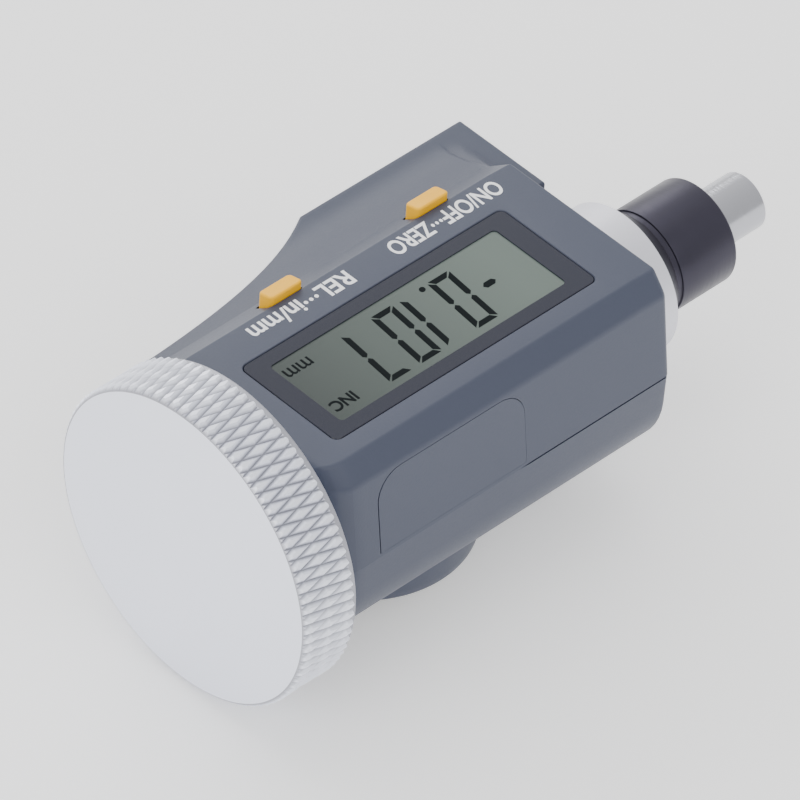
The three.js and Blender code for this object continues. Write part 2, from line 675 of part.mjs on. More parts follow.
function stem() {
  const bore = SPINDLE_R + RUNNING_GAP;
  return turned([
    [stemFace, bore], [stemFace, STEM_R - STEM_CHAMFER], [stemFace - STEM_CHAMFER, STEM_R],
    [reliefX, STEM_R], [reliefX, RELIEF_R], [coneX, RELIEF_R], [coneX, CONE_R],
    [flangeX, CONE_BASE_R], [barrelFront + GAP / 2, CONE_BASE_R], [barrelFront + GAP / 2, SHANK_R],
    [barrelFront - SHANK_LENGTH, SHANK_R], [barrelFront - SHANK_LENGTH, bore], [stemFace, bore],
  ]);
}

function barrel() {
  const body = turned([
    [barrelFront - GAP / 2, SHANK_R + GAP], [barrelFront - GAP / 2, CONE_BASE_R + GAP],
    [flangeX, CONE_BASE_R + GAP], [flangeX, BARREL_R], [barrelBack, BARREL_R],
    [barrelBack, CHAMBER_R], [chamberX, CHAMBER_R], [chamberX, SPINDLE_R + RUNNING_GAP],
    [guideX, SPINDLE_R + RUNNING_GAP], [guideX, SHANK_R + GAP],
    [barrelFront - GAP / 2, SHANK_R + GAP],
  ]);
  const cableSlot = box(chamberX - 3, chamberX - 0.3, -2.6, 2.6, CHAMBER_R - 1.5, BARREL_R + 1);
  return cut(body, cableSlot);
}

add('stem', stem(), blackSteel());
add('barrel', barrel(), matteSilver());

// ---------------------------------------------------------------- encoder

const statorX = chamberX - GAP;
const statorBack = statorX - STATOR_THICKNESS;
const rotorX = statorBack - ENCODER_GAP;
const discBack = rotorX - ROTOR_THICKNESS;
const washerX = discBack - WASHER_SPACE / 2;
const bearingX = discBack - WASHER_SPACE;
const bearingBack = bearingX - BEARING_LENGTH;
const hubBack = bearingBack - ENCODER_GAP;
const keyX = bearingX - 1;
const keyBack = keyX - KEY_LENGTH;

function encoderRotor() {
  const bore = SPINDLE_R + RUNNING_GAP;
  const body = turned([
    [rotorX, bore], [rotorX, CHAMBER_R - 0.4], [discBack, CHAMBER_R - 0.4], [discBack, HUB_R],
    [hubBack, HUB_R], [hubBack, bore], [rotorX, bore],
  ]);
  const keySlot = box(keyBack - 0.2, keyX + 0.2, -KEY_SLOT_WIDTH / 2, KEY_SLOT_WIDTH / 2, 0, HUB_R + 1);
  return cut(body, keySlot);
}

// A spring washer with three waves round its ring.
function waveWasher() {
  const [inner, outer, thickness, waves, lift] = [HUB_R + 0.35, CHAMBER_R - 0.5, 0.3, 3, 0.2];
  const geometry = new THREE.LatheGeometry([
    new THREE.Vector2(inner, -thickness / 2), new THREE.Vector2(outer, -thickness / 2),
    new THREE.Vector2(outer, thickness / 2), new THREE.Vector2(inner, thickness / 2),
    new THREE.Vector2(inner, -thickness / 2),
  ], ROUND);
  geometry.rotateZ(-Math.PI / 2);
  const p = geometry.attributes.position;
  for (let i = 0; i < p.count; i += 1) {
    const turn = Math.atan2(p.getZ(i), p.getY(i));
    p.setX(i, p.getX(i) + washerX + lift * Math.sin(waves * turn));
  }
  return solid(geometry);
}

add('encoder_stator', tube(statorBack, statorX, SPINDLE_R + 0.6, CHAMBER_R - 0.2), boardLaminate());
add('stator_flex', box(statorBack + 0.3, statorBack + 0.6, -2, 2, CHAMBER_R + 0.1, boardUnder - 0.1),
  finish(0xb8742e, 0.5, 0));
add('encoder_rotor', encoderRotor(), boardLaminate());
add('rotor_key', box(keyBack, keyX, -KEY_WIDTH / 2, KEY_WIDTH / 2, SPINDLE_R - KEYWAY_DEPTH + 0.2,
  HUB_R - 0.1), groundSteel());
add('wave_washer', waveWasher(), springSteel());
add('rotor_bearing', tube(bearingBack, bearingX, HUB_R + RUNNING_GAP, CHAMBER_R - 0.2), brass());

// ---------------------------------------------------------------- feed nut

const nutFront = hubBack - ENCODER_GAP;
const nutBack = barrelBack + 0.4;
const nutCollet = nutBack + COLLET_LENGTH;

function feedNut() {
  const bore = THREAD_R + RUNNING_GAP;
  const body = turned([
    [nutFront, bore], [nutFront, CHAMBER_R - 0.2], [nutCollet, CHAMBER_R - 0.2],
    [nutCollet, COLLET_R], [nutBack, COLLET_R], [nutBack, bore], [nutFront, bore],
  ]);
  const slits = [0, 1, 2].map((i) => {
    const geometry = new THREE.BoxGeometry(...COLLET_SLIT);
    geometry.translate(nutBack + 2, COLLET_SLIT[1] / 2, 0);
    geometry.rotateX((i * 2 * Math.PI) / 3 + Math.PI / 2);
    return solid(geometry);
  });
  return cut(body, ...slits);
}

add('feed_nut', feedNut(), brass());
add('adjusting_nut', tube(nutBack + GAP, nutBack + GAP + ADJUSTING_NUT_LENGTH, COLLET_R + 0.2,
  CHAMBER_R - 0.3), groundSteel());

// ---------------------------------------------------------------- spindle and thimble

function spindle() {
  const body = turned([
    [0, 0], [0, SPINDLE_R - SPINDLE_EDGE], [-SPINDLE_EDGE, SPINDLE_R],
    [threadFront + THREAD_LEAD_IN, SPINDLE_R],
    [threadFront, THREAD_R], [threadBack, THREAD_R], [threadBack, JOURNAL_R],
    [journalEnd, JOURNAL_R], [journalEnd, 0],
  ]);
  const keyway = box(keyBack - FEED_OUT - 1.5, keyX + FEED_IN + 1.5, -KEYWAY_WIDTH / 2, KEYWAY_WIDTH / 2,
    SPINDLE_R - KEYWAY_DEPTH, SPINDLE_R + 1);
  return cut(body, keyway);
}

function radial(geometry) {
  geometry.rotateX(SET_SCREW_ANGLE);
  return solid(geometry);
}

const screwX = thimbleFront - SET_SCREW_IN;

function screwHole(r, from, to, sides) {
  const geometry = new THREE.CylinderGeometry(r, r, to - from, sides);
  geometry.translate(screwX, (from + to) / 2, 0);
  return radial(geometry);
}

function thimble() {
  const bore = JOURNAL_R + RUNNING_GAP;
  const body = turned([
    [thimbleFace, 0], [thimbleFace, THIMBLE_R - THIMBLE_BEVEL],
    [thimbleFace + THIMBLE_BEVEL, THIMBLE_R],
    [thimbleFront - THIMBLE_BEVEL, THIMBLE_R], [thimbleFront, THIMBLE_R - THIMBLE_BEVEL],
    [thimbleFront, bore], [thimbleFace + THIMBLE_FLOOR, bore], [thimbleFace + THIMBLE_FLOOR, 0],
  ], THIMBLE_SIDES);
  return cut(body, screwHole(SET_SCREW_R + SET_SCREW_PLAY, JOURNAL_R - 1, THIMBLE_R + 1, SMALL_ROUND));
}

function thimbleScrew() {
  const tip = JOURNAL_R + GAP;
  const outer = THIMBLE_R - SET_SCREW_SINK;
  const [socketR, socketDepth] = SET_SOCKET;
  return cut(
    screwHole(SET_SCREW_R, tip, outer, SMALL_ROUND),
    screwHole(socketR, outer - socketDepth, outer + 1, 6),
  );
}

add('spindle', spindle(), groundSteel());
add('thimble', thimble(), matteSilver());
add('thimble_screw', thimbleScrew(), groundSteel());

// ---------------------------------------------------------------- data socket behind the side cover

const socketY = SHOULDER_Y + WALL + GAP;
add('data_socket', box(coverBack + SOCKET_END_IN, coverFront - SOCKET_END_IN, socketY,
  socketY + SOCKET_DEPTH, ...SOCKET_Z), blackPlastic());

export default group;
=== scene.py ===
import math

import bmesh
import bpy
from mathutils import Matrix, Vector


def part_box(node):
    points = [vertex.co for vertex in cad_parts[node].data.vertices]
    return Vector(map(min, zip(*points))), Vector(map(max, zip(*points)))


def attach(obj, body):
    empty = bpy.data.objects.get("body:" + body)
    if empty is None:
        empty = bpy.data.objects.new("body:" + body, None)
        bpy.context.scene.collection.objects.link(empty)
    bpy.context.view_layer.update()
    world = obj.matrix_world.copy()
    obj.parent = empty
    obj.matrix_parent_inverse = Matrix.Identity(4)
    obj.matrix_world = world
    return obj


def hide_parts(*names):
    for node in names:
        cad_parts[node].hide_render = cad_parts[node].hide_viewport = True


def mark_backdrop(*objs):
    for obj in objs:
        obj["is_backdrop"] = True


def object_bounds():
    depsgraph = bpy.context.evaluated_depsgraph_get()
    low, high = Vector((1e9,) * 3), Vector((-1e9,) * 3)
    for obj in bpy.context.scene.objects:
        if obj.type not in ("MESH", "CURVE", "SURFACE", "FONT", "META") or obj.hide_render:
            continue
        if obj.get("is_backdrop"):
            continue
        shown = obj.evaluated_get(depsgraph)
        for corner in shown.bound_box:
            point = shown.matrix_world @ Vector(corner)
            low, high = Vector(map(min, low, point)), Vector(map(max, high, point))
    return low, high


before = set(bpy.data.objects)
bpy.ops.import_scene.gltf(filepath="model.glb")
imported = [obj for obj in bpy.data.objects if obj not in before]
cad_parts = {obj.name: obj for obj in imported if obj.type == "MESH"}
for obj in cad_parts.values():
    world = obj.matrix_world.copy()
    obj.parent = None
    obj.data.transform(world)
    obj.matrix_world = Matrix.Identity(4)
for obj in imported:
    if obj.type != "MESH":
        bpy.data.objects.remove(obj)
cad_low, cad_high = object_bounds()

MM = 0.001
SEAM = 0.03               # half a visible joint line
OPEN_SEAM = 0.14          # half of the joint line where it gapes, towards the spindle
ARC = 6                   # steps round a rounded corner
TURNED_SHARP = 28         # edges of turned pieces sharper than this many degrees stay crisp


def node_box(name):
    low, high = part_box(name)
    return Vector(low) / MM, Vector(high) / MM


def plan_centre(low, high):
    return ((low.x + high.x) / 2, (low.y + high.y) / 2)


# ---------------------------------------------------------------- places taken from the frame

front_low, front_high = node_box("front_shell")
rear_low = node_box("rear_shell")[0]
lens_low, lens_high = node_box("display_lens")
stem_low, stem_high = node_box("stem")
barrel_low, barrel_high = node_box("barrel")
thimble_low, thimble_high = node_box("thimble")
spindle_low = node_box("spindle")[0]
cover_low, cover_high = node_box("battery_cover")
side_low, side_high = node_box("side_cover")
key_low, key_high = node_box("rotor_key")

BACK = front_low.x
LEAD_FRONT = front_high.x
LEAD = 4.4                # wing in front of the display housing
FRONT = LEAD_FRONT - LEAD
FACE_Z = front_high.z
BATTERY_BOSS_Z = rear_low.z
BATTERY_BOSS_DROP = 1.2
BACK_ROUND_R = 8.8
BACK_Z = BATTERY_BOSS_Z + BATTERY_BOSS_DROP
SIDE_Y = front_low.y
WING_Y = front_high.y

# Outline of the housing across the axis.
SHOULDER = (SIDE_Y + 1.3, FACE_Z - 2.3)
FACE_LOW_Y = SIDE_Y + 3.2
FACE_HIGH_Y = 10.3
STRIP_FOOT = (13.4, FACE_Z - 2.4)
WING_TOP = 7.85
WING_HOLLOW = 7.4         # width of the hollow curve beside the button strip
HOLLOW_BEND = 0.52
LEAD_HOLLOW = 2.4         # width of the hollow curve at the front of the housing
WING_EDGE_R = 0.22
WING_INNER_Y = 9.4
WING_CORNER_R = 0.15
WING_STRAIGHT_END = LEAD_FRONT - 22.6
WING_HOLLOW_CONTROL = (WING_STRAIGHT_END - 9.6, 16.2)
WING_BACK_Y = 15.0
WALL = 1.5
KEY_FLANGE = 0.7          # a key's flange past each end of its cap
PLAN_R_BACK = 3.5         # rounding of the ends, seen in plan
PLAN_R_FRONT = 0.7
END_R_BACK = 1.1          # rounding of the ends, seen from the side
STRIP_R_BACK = 1.2
WING_R_BACK = 1.0
LEAD_END_R = 0.4          # rounding of the wing's front end, seen from the side
SEAM_OPENS = FRONT - 21.1  # where the joint line between the shells begins to gape
SEAM_OPENING = 1.4        # length over which it opens
END_R_FRONT = 0.25
FACE_RAMP = (3.4, 0.2)   # length and fall of the shallow slope at the front of the display face


# ---------------------------------------------------------------- mesh helpers

def finish_mesh(name, bm, material, sharp_angle=32):
    """Turns a bmesh in millimetres into a smooth-shaded object in metres."""
    bmesh.ops.remove_doubles(bm, verts=bm.verts, dist=1e-5)
    bmesh.ops.recalc_face_normals(bm, faces=bm.faces)
    bmesh.ops.scale(bm, vec=(MM, MM, MM), verts=bm.verts)
    mesh = bpy.data.meshes.new(name)
    bm.to_mesh(mesh)
    bm.free()
    return link(name, mesh, material, sharp_angle)


def link(name, mesh, material=None, sharp_angle=32):
    obj = bpy.data.objects.new(name, mesh)
    bpy.context.scene.collection.objects.link(obj)
    if material is not None:
        mesh.materials.clear()
        mesh.materials.append(material)
    mesh.polygons.foreach_set("use_smooth", [True] * len(mesh.polygons))
    mesh.set_sharp_from_angle(angle=math.radians(sharp_angle))
    return obj


def loft(name, rings, material=None, closed_along=False, sharp_angle=32):
    """A closed solid through rings of (x, y, z) points, each with the same number of points."""
    bm = bmesh.new()
    rows = [[bm.verts.new(point) for point in ring] for ring in rings]
    pairs = list(zip(rows, rows[1:]))
    if closed_along:
        pairs.append((rows[-1], rows[0]))
    for low, high in pairs:
        for i in range(len(low)):
            j = (i + 1) % len(low)
            bm.faces.new((low[i], low[j], high[j], high[i]))
    if not closed_along:
        bm.faces.new(rows[0][::-1])
        bm.faces.new(rows[-1])
    return finish_mesh(name, bm, material, sharp_angle)


def filleted(points, steps=ARC, closed=False):
    """Corners given as (u, v, radius) become arcs with the same number of points each."""
    line = []
    count = len(points)
    for i, (u, v, radius) in enumerate(points):
        here = Vector((u, v))
        if radius <= 0 or (not closed and i in (0, count - 1)):
            line.append(here)
            continue
        before = (Vector(points[i - 1][:2]) - here).normalized()
        after = (Vector(points[(i + 1) % count][:2]) - here).normalized()
        half = before.angle(after) / 2
        reach = radius / math.tan(half)
        centre = here + (before + after).normalized() * (radius / math.sin(half))
        start = here + before * reach - centre
        end = here + after * reach - centre
        sweep = start.angle(end)
        for k in range(steps + 1):
            t = k / steps
            arm = (start * math.sin((1 - t) * sweep) + end * math.sin(t * sweep)) / math.sin(sweep)
            line.append(centre + arm)
    return line


def turned(name, corners, material=None, sides=160, ring=False, centre=(0, 0)):
    """A turned piece round an axis along X; corners are (x, radius, fillet)."""
    profile = filleted(corners, 5, closed=ring)
    rings = []
    for x, r in profile:
        rings.append([(x, centre[0] + r * math.cos(a), centre[1] + r * math.sin(a))
                      for a in (2 * math.pi * k / sides for k in range(sides))])
    return loft(name, rings, material, ring, TURNED_SHARP)


def turned_z(name, corners, centre, material=None, sides=128):
    """A turned piece round an axis along Z; corners are (z, radius, fillet)."""
    profile = filleted(corners, 5)
    rings = []
    for z, r in profile:
        rings.append([(centre[0] + r * math.cos(a), centre[1] + r * math.sin(a), z)
                      for a in (2 * math.pi * k / sides for k in range(sides))])
    return loft(name, rings, material, False, TURNED_SHARP)


def plate_outline(x0, x1, y0, y1, radius, grow=0.0):
    """A rounded rectangle in plan, grown outwards all round."""
    r = radius + grow
    corners = [(x0 - grow, y0 - grow, r), (x1 + grow, y0 - grow, r),
               (x1 + grow, y1 + grow, r), (x0 - grow, y1 + grow, r)]
    return filleted(corners, closed=True)


def plate(name, outline_at, levels, material=None):
    """A stack of plan outlines; levels are (z, grow)."""
    rings = [[(p.x, p.y, z) for p in outline_at(grow)] for z, grow in levels]
    return loft(name, rings, material)


def cuboid(name, low, high):
    rings = [[(x, low[1], low[2]), (x, high[1], low[2]), (x, high[1], high[2]), (x, low[1], high[2])]
             for x in (low[0], high[0])]
    return loft(name, rings)


def carve(target, tools, operation="DIFFERENCE", sharp_angle=32):
    """Cuts, joins or keeps the common part with each tool, and removes the tools."""
    for tool in tools:
        step = target.modifiers.new("step", "BOOLEAN")
        step.operation = operation
        step.solver = "MANIFOLD"
        step.object = tool
        depsgraph = bpy.context.evaluated_depsgraph_get()
        mesh = bpy.data.meshes.new_from_object(target.evaluated_get(depsgraph))
        target.modifiers.remove(step)
        old = target.data
        target.data = mesh
        bpy.data.meshes.remove(old)
        bpy.data.objects.remove(tool)
    mesh = target.data
    mesh.polygons.foreach_set("use_smooth", [True] * len(mesh.polygons))
    mesh.set_sharp_from_angle(angle=math.radians(sharp_angle))
    return target


def paint(obj, material):
    obj.data.materials.clear()
    obj.data.materials.append(material)
    obj.data.polygons.foreach_set("material_index", [0] * len(obj.data.polygons))


def place(obj, body, slot, *nodes):
    """Says which body a piece rides on and the CAD nodes it stands for; the slot argument is not used."""
    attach(obj, body)
    if nodes:
        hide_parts(*nodes)
    return obj


# ---------------------------------------------------------------- materials

def surface(name, color, roughness, metallic=0.0, mottle=0.04, mottle_scale=90, grain=0.0,
            grain_scale=5000, stretch=(1, 1, 1), coat=0.0, specular=0.5, swing=0.06):
    """A surface with slight colour drift, uneven gloss and a fine grain in its relief."""
    material = bpy.data.materials.new(name)
    material.use_nodes = True
    nodes, links = material.node_tree.nodes, material.node_tree.links
    shader = nodes["Principled BSDF"]
    shader.inputs["Metallic"].default_value = metallic
    shader.inputs["Specular IOR Level"].default_value = specular
    shader.inputs["Coat Weight"].default_value = coat
    shader.inputs["Coat Roughness"].default_value = 0.06
    where = nodes.new("ShaderNodeTexCoord")
    stretched = nodes.new("ShaderNodeMapping")
    stretched.inputs["Scale"].default_value = stretch
    links.new(where.outputs["Object"], stretched.inputs["Vector"])

    drift = nodes.new("ShaderNodeTexNoise")
    drift.inputs["Scale"].default_value = mottle_scale
    drift.inputs["Detail"].default_value = 4
    links.new(where.outputs["Object"], drift.inputs["Vector"])
    tint = nodes.new("ShaderNodeMix")
    tint.data_type = "RGBA"
    tint.inputs["A"].default_value = (*[c * (1 - mottle) for c in color], 1)
    tint.inputs["B"].default_value = (*[min(1, c * (1 + mottle)) for c in color], 1)
    links.new(drift.outputs["Fac"], tint.inputs["Factor"])
    links.new(tint.outputs["Result"], shader.inputs["Base Color"])

    fine = nodes.new("ShaderNodeTexNoise")
    fine.inputs["Scale"].default_value = grain_scale
    fine.inputs["Detail"].default_value = 3
    links.new(stretched.outputs["Vector"], fine.inputs["Vector"])
    gloss = nodes.new("ShaderNodeMapRange")
    gloss.inputs["To Min"].default_value = max(0.02, roughness - swing)
    gloss.inputs["To Max"].default_value = min(1.0, roughness + swing)
    links.new(fine.outputs["Fac"], gloss.inputs["Value"])
    links.new(gloss.outputs["Result"], shader.inputs["Roughness"])
    if grain > 0:
        relief = nodes.new("ShaderNodeBump")
        relief.inputs["Strength"].default_value = grain
        relief.inputs["Distance"].default_value = 0.00004
        links.new(fine.outputs["Fac"], relief.inputs["Height"])
        links.new(relief.outputs["Normal"], shader.inputs["Normal"])
    return material


def srgb(red, green, blue):
    """Linear colour from 0-255 screen values."""
    return tuple(((c / 255 + 0.055) / 1.055) ** 2.4 if c > 10 else c / 255 / 12.92
                 for c in (red, green, blue))


CASE_GREY = srgb(57, 63, 81)
case_plastic = surface("case_plastic", CASE_GREY, 0.42, grain=0.3, grain_scale=4200)
cover_plastic = surface("side_cover_plastic", CASE_GREY, 0.40, grain=0.3, grain_scale=4200)
black_plastic = surface("black_plastic", srgb(22, 22, 25), 0.42, grain=0.3)
button_plastic = surface("button_yellow", srgb(255, 186, 0), 0.42, specular=0.3, mottle=0.05,
                         mottle_scale=700, grain=0.18, grain_scale=2500)
mask_ink = surface("lens_mask", srgb(20, 24, 42), 0.14, mottle=0.02, swing=0.02)
label_ink = surface("label_white", srgb(248, 249, 252), 0.55, mottle=0.03, mottle_scale=3000)
ground_steel = surface("ground_steel", srgb(178, 179, 185), 0.22, 1.0, grain=0.3, grain_scale=90,
                       stretch=(60, 3, 3), swing=0.08)
black_steel = surface("black_steel", srgb(56, 54, 66), 0.36, 0.7, mottle=0.12, mottle_scale=260,
                      grain=0.2, grain_scale=140, stretch=(40, 3, 3), swing=0.07)
satin_aluminium = surface("satin_aluminium", srgb(240, 243, 255), 0.44, 0.6, mottle=0.02,
                          grain=0.25, grain_scale=7000, swing=0.05)
blasted_barrel = surface("blasted_barrel", srgb(222, 222, 230), 0.5, 0.8, mottle=0.03,
                         grain=0.5, grain_scale=6000, swing=0.05)
brass = surface("brass", srgb(196, 158, 88), 0.3, 1.0, mottle=0.06, mottle_scale=400)
spring_steel = surface("spring_steel", srgb(200, 199, 194), 0.28, 1.0, mottle=0.05)
board_green = surface("board", srgb(38, 98, 62), 0.45, mottle=0.1, mottle_scale=600, coat=0.3)
flex_amber = surface("flex", srgb(190, 120, 52), 0.4, mottle=0.1, mottle_scale=600)
rubber_black = surface("rubber_black", srgb(32, 32, 33), 0.8, grain=0.3)
segment_ink = surface("lcd_segments", srgb(14, 20, 22), 0.5, specular=0.05, mottle=0.05)


LCD_DARK = srgb(48, 57, 54)
# lighter colour of the painted reflection on the display glass
LCD_PAINTED_REFLECTION = srgb(90, 102, 96)


def lcd_material():
    """Grey-green display glass, with a painted reflection that lightens it towards the spindle end."""
    material = surface("lcd_glass", LCD_DARK, 0.16, mottle=0.02, swing=0.03)
    nodes, links = material.node_tree.nodes, material.node_tree.links
    tint = next(n for n in nodes if n.type == "MIX")
    where = next(n for n in nodes if n.type == "TEX_COORD")
    axis = nodes.new("ShaderNodeSeparateXYZ")
    links.new(where.outputs["Object"], axis.inputs["Vector"])
    # painted reflection: the glass colour blends from dark to light along X towards the spindle end
    span = nodes.new("ShaderNodeMapRange")
    span.inputs["From Min"].default_value = (lens_low.x + 2) * MM
    span.inputs["From Max"].default_value = (lens_high.x - 6) * MM
    links.new(axis.outputs["X"], span.inputs["Value"])
    tint.inputs["A"].default_value = (*LCD_DARK, 1)
    tint.inputs["B"].default_value = (*LCD_PAINTED_REFLECTION, 1)
    links.new(span.outputs["Result"], tint.inputs["Factor"])
    return material


# colour of the painted shade at the bottom of the knurl grooves
GROOVE_PAINTED_SHADE = srgb(165, 166, 175)


def paint_groove_shade(material, floor_r, crest_r):
    """Paints shade into a turned surface's colour, darker towards the bottom of its knurling."""
    nodes, links = material.node_tree.nodes, material.node_tree.links
    shader = nodes["Principled BSDF"]
    where = next(n for n in nodes if n.type == "TEX_COORD")
    flat = nodes.new("ShaderNodeVectorMath")
    flat.operation = "MULTIPLY"
    flat.inputs[1].default_value = (0, 1, 1)
    links.new(where.outputs["Object"], flat.inputs[0])
    reach = nodes.new("ShaderNodeVectorMath")
    reach.operation = "LENGTH"
    links.new(flat.outputs["Vector"], reach.inputs[0])
    level = nodes.new("ShaderNodeMapRange")
    level.inputs["From Min"].default_value = floor_r * MM
    level.inputs["From Max"].default_value = crest_r * MM
    links.new(reach.outputs["Value"], level.inputs["Value"])
    inner = nodes.new("ShaderNodeMath")
    inner.operation = "LESS_THAN"
    inner.inputs[1].default_value = (floor_r - 0.1) * MM
    links.new(reach.outputs["Value"], inner.inputs[0])
    clean = nodes.new("ShaderNodeMath")
    clean.operation = "MAXIMUM"
    links.new(level.outputs["Result"], clean.inputs[0])
    links.new(inner.outputs["Value"], clean.inputs[1])
    shade = nodes.new("ShaderNodeMix")
    shade.data_type = "RGBA"
    shade.inputs["A"].default_value = (*GROOVE_PAINTED_SHADE, 1)
    base = shader.inputs["Base Color"].links[0].from_socket
    links.new(base, shade.inputs["B"])
    links.new(clean.outputs["Value"], shade.inputs["Factor"])
    links.new(shade.outputs["Result"], shader.inputs["Base Color"])


lcd_glass = lcd_material()


# ---------------------------------------------------------------- housing surfaces

def end_inset(x, back_radius, front_radius):
    """How far a rounded end has drawn the surface in at station x."""
    inset = 0.0
    for radius, distance in ((back_radius, x - BACK), (front_radius, FRONT - x)):
        if distance < radius:
            inset = max(inset, radius - math.sqrt(max(0.0, radius ** 2 - (radius - distance) ** 2)))
    return inset


def wing_edge_y(x):
    """Outer edge of the wing in plan: straight, then a hollow curve to the thimble end."""
    if x >= WING_STRAIGHT_END:
        gone = max(0.0, WING_CORNER_R - (LEAD_FRONT - x))
        corner = WING_CORNER_R - math.sqrt(max(0.0, WING_CORNER_R ** 2 - gone ** 2))
        return WING_Y - corner
    start, control, end = WING_STRAIGHT_END, WING_HOLLOW_CONTROL[0], BACK
    a, b, c = start - 2 * control + end, 2 * (control - start), start - x
    t = (-b - math.sqrt(b * b - 4 * a * c)) / (2 * a)
    if not 0 <= t <= 1:
        t = (-b + math.sqrt(b * b - 4 * a * c)) / (2 * a)
    y = (1 - t) ** 2 * WING_Y + 2 * t * (1 - t) * WING_HOLLOW_CONTROL[1] + t * t * WING_BACK_Y
    return y - end_inset(x, WING_R_BACK, 0.0)


def wing_height(x, y, foot_y, foot_z, top):
    """Top of the wing, hollowed up to the foot of the strip and to the front of the housing."""
    along = min(1.0, max(0.0, (x - FRONT) / LEAD_HOLLOW))
    across = min(1.0, max(0.0, (y - foot_y) / WING_HOLLOW))
    t = min(1.0, (along ** 5 + across ** 5) ** 0.2)
    return top + (foot_z - top) * (1 - t) ** 2 * (1 + HOLLOW_BEND * t)


def face_fall(x):
    """Drop of the display face: a shallow ramp at the front, then the rounded ends."""
    length, fall = FACE_RAMP
    ramp = fall * min(1.0, max(0.0, (x - (FRONT - length)) / length))
    return ramp + end_inset(x, END_R_BACK, END_R_FRONT)


def box_corners(x, side, inset=0.0, level=SEAM):
    """Corners of the housing section in (y, |z|), from the plain side over to the strip's foot."""
    plain = end_inset(x, PLAN_R_BACK, PLAN_R_FRONT) + inset
    strip = end_inset(x, STRIP_R_BACK, PLAN_R_FRONT)
    if side > 0:
        fall = face_fall(x) + inset
        corners = [
            (SIDE_Y + plain, level, 0),
            (SHOULDER[0] + plain, SHOULDER[1] - 0.5 * fall, 1.7),
            (FACE_LOW_Y + 0.6 * plain, FACE_Z - fall, 0.7),
            (FACE_HIGH_Y - 0.4 * strip - 0.35 * inset, FACE_Z - fall, 0.22),
        ]
    else:
        fall = end_inset(x, END_R_BACK, END_R_FRONT) + inset
        depth = -BACK_Z - fall
        corners = [
            (SIDE_Y + 0.05 + plain, level, 0),
            (SIDE_Y + 0.5 + plain, depth, BACK_ROUND_R),
            (FACE_HIGH_Y - 0.4 * strip, depth, 0.5),
        ]
    foot = (STRIP_FOOT[0] - strip - 0.8 * inset, STRIP_FOOT[1] - 0.5 * fall)
    return corners, foot


def seam_level(x):
    """Half the joint line at station x."""
    opening = min(1.0, max(0.0, (x - SEAM_OPENS) / SEAM_OPENING))
    return SEAM + (OPEN_SEAM - SEAM) * opening


def case_ring(x, side, lead=False):
    """One section of a case half: housing or wing lead, then the hollow and the wing's edge."""
    corners, foot = box_corners(min(x, FRONT), side, level=seam_level(x))
    box_line = filleted(corners + [(*foot, 0)], ARC if side > 0 else 2 * ARC)[:-1]
    box_line.append(Vector(foot) + (box_line[-1] - Vector(foot)) * 0.04)
    gone = max(0.0, LEAD_END_R - (LEAD_FRONT - x))
    top = WING_TOP - (LEAD_END_R - math.sqrt(max(0.0, LEAD_END_R ** 2 - gone ** 2)))
    if lead:
        inner = WING_INNER_Y + WING_Y - wing_edge_y(x)
        height = wing_height(x, inner, *foot, top)
        edge = filleted([(inner, SEAM, 0), (inner, height, WING_EDGE_R), (foot[0], height, 0)])[:-1]
        spare = len(box_line) - len(edge)
        start = edge[-1].x
        run = [start + (foot[0] - start) * (k + 1) / (spare + 1) for k in range(spare)]
        box_line = edge + [Vector((y, wing_height(x, y, *foot, top))) for y in run]
    outer = wing_edge_y(x)
    hollow_end = outer - 2.2 * WING_EDGE_R
    ys = [foot[0], foot[0] + 0.1] + [foot[0] + (hollow_end - foot[0]) * k / 14 for k in range(1, 15)]
    hollow = [Vector((y, wing_height(x, y, *foot, top))) for y in ys]
    rim = filleted([(hollow[-1].x, hollow[-1].y, 0),
                    (outer, wing_height(x, outer, *foot, top), WING_EDGE_R), (outer, SEAM, 0)])[1:]
    line = box_line + hollow + rim
    return [(x, p.x, p.y * side) for p in line]


def arc_stations(end, direction, radii, steps=7):
    """Stations bunched where a rounded end curves fastest."""
    return [end + direction * r * (1 - math.cos(k * math.pi / 2 / steps))
            for r in radii for k in range(steps + 1)]


def stations(low, high, step):
    count = max(1, round((high - low) / step))
    return [low + (high - low) * k / count for k in range(count + 1)]


def tidy_stations(values, least=0.012):
    kept = []
    for value in sorted(values):
        if not kept or value - kept[-1] > least:
            kept.append(value)
    return kept


def case_loft(name, side):
    """The outer surface of one case half as a solid block."""
    main = tidy_stations(
        arc_stations(BACK, 1, (PLAN_R_BACK, END_R_BACK)) + stations(BACK, FRONT, 1.4)
        + [WING_STRAIGHT_END, FRONT - FACE_RAMP[0]] + arc_stations(FRONT, -1, (PLAN_R_FRONT, END_R_FRONT)))
    main = [x for x in main if x < FRONT - 0.004] + [FRONT]
    lead = tidy_stations([FRONT] + stations(FRONT, FRONT + LEAD_HOLLOW, 0.24)
                         + [LEAD_FRONT - 1.4] + arc_stations(LEAD_FRONT, -1, (WING_CORNER_R, LEAD_END_R)))
    rings = [case_ring(x, side) for x in main] + [case_ring(x, side, lead=True) for x in lead]
    return loft(name, rings)


def hollow_loft(name, side):
    """The space inside a case half, open at the parting line."""
    rings = []
    for x in (BACK + WALL, BACK + WALL + 2, FRONT - WALL - 1, FRONT - WALL):
        corners, foot = box_corners(x, side, WALL, -1.0)
        line = filleted(corners + [(*foot, 0), (foot[0], -1.0, 0)], 3)
        rings.append([(x, p.x, p.y * side) for p in line])
    return loft(name, rings)


def barrel_cutter():
    return turned("barrel_cutter", [(BACK - 2, 0, 0), (BACK - 2, barrel_high.z + SEAM, 0),
                                    (LEAD_FRONT + 2, barrel_high.z + SEAM, 0), (LEAD_FRONT + 2, 0, 0)])


def lens_outline(grow):
    return plate_outline(lens_low.x, lens_high.x, lens_low.y, lens_high.y, 0.8, grow)


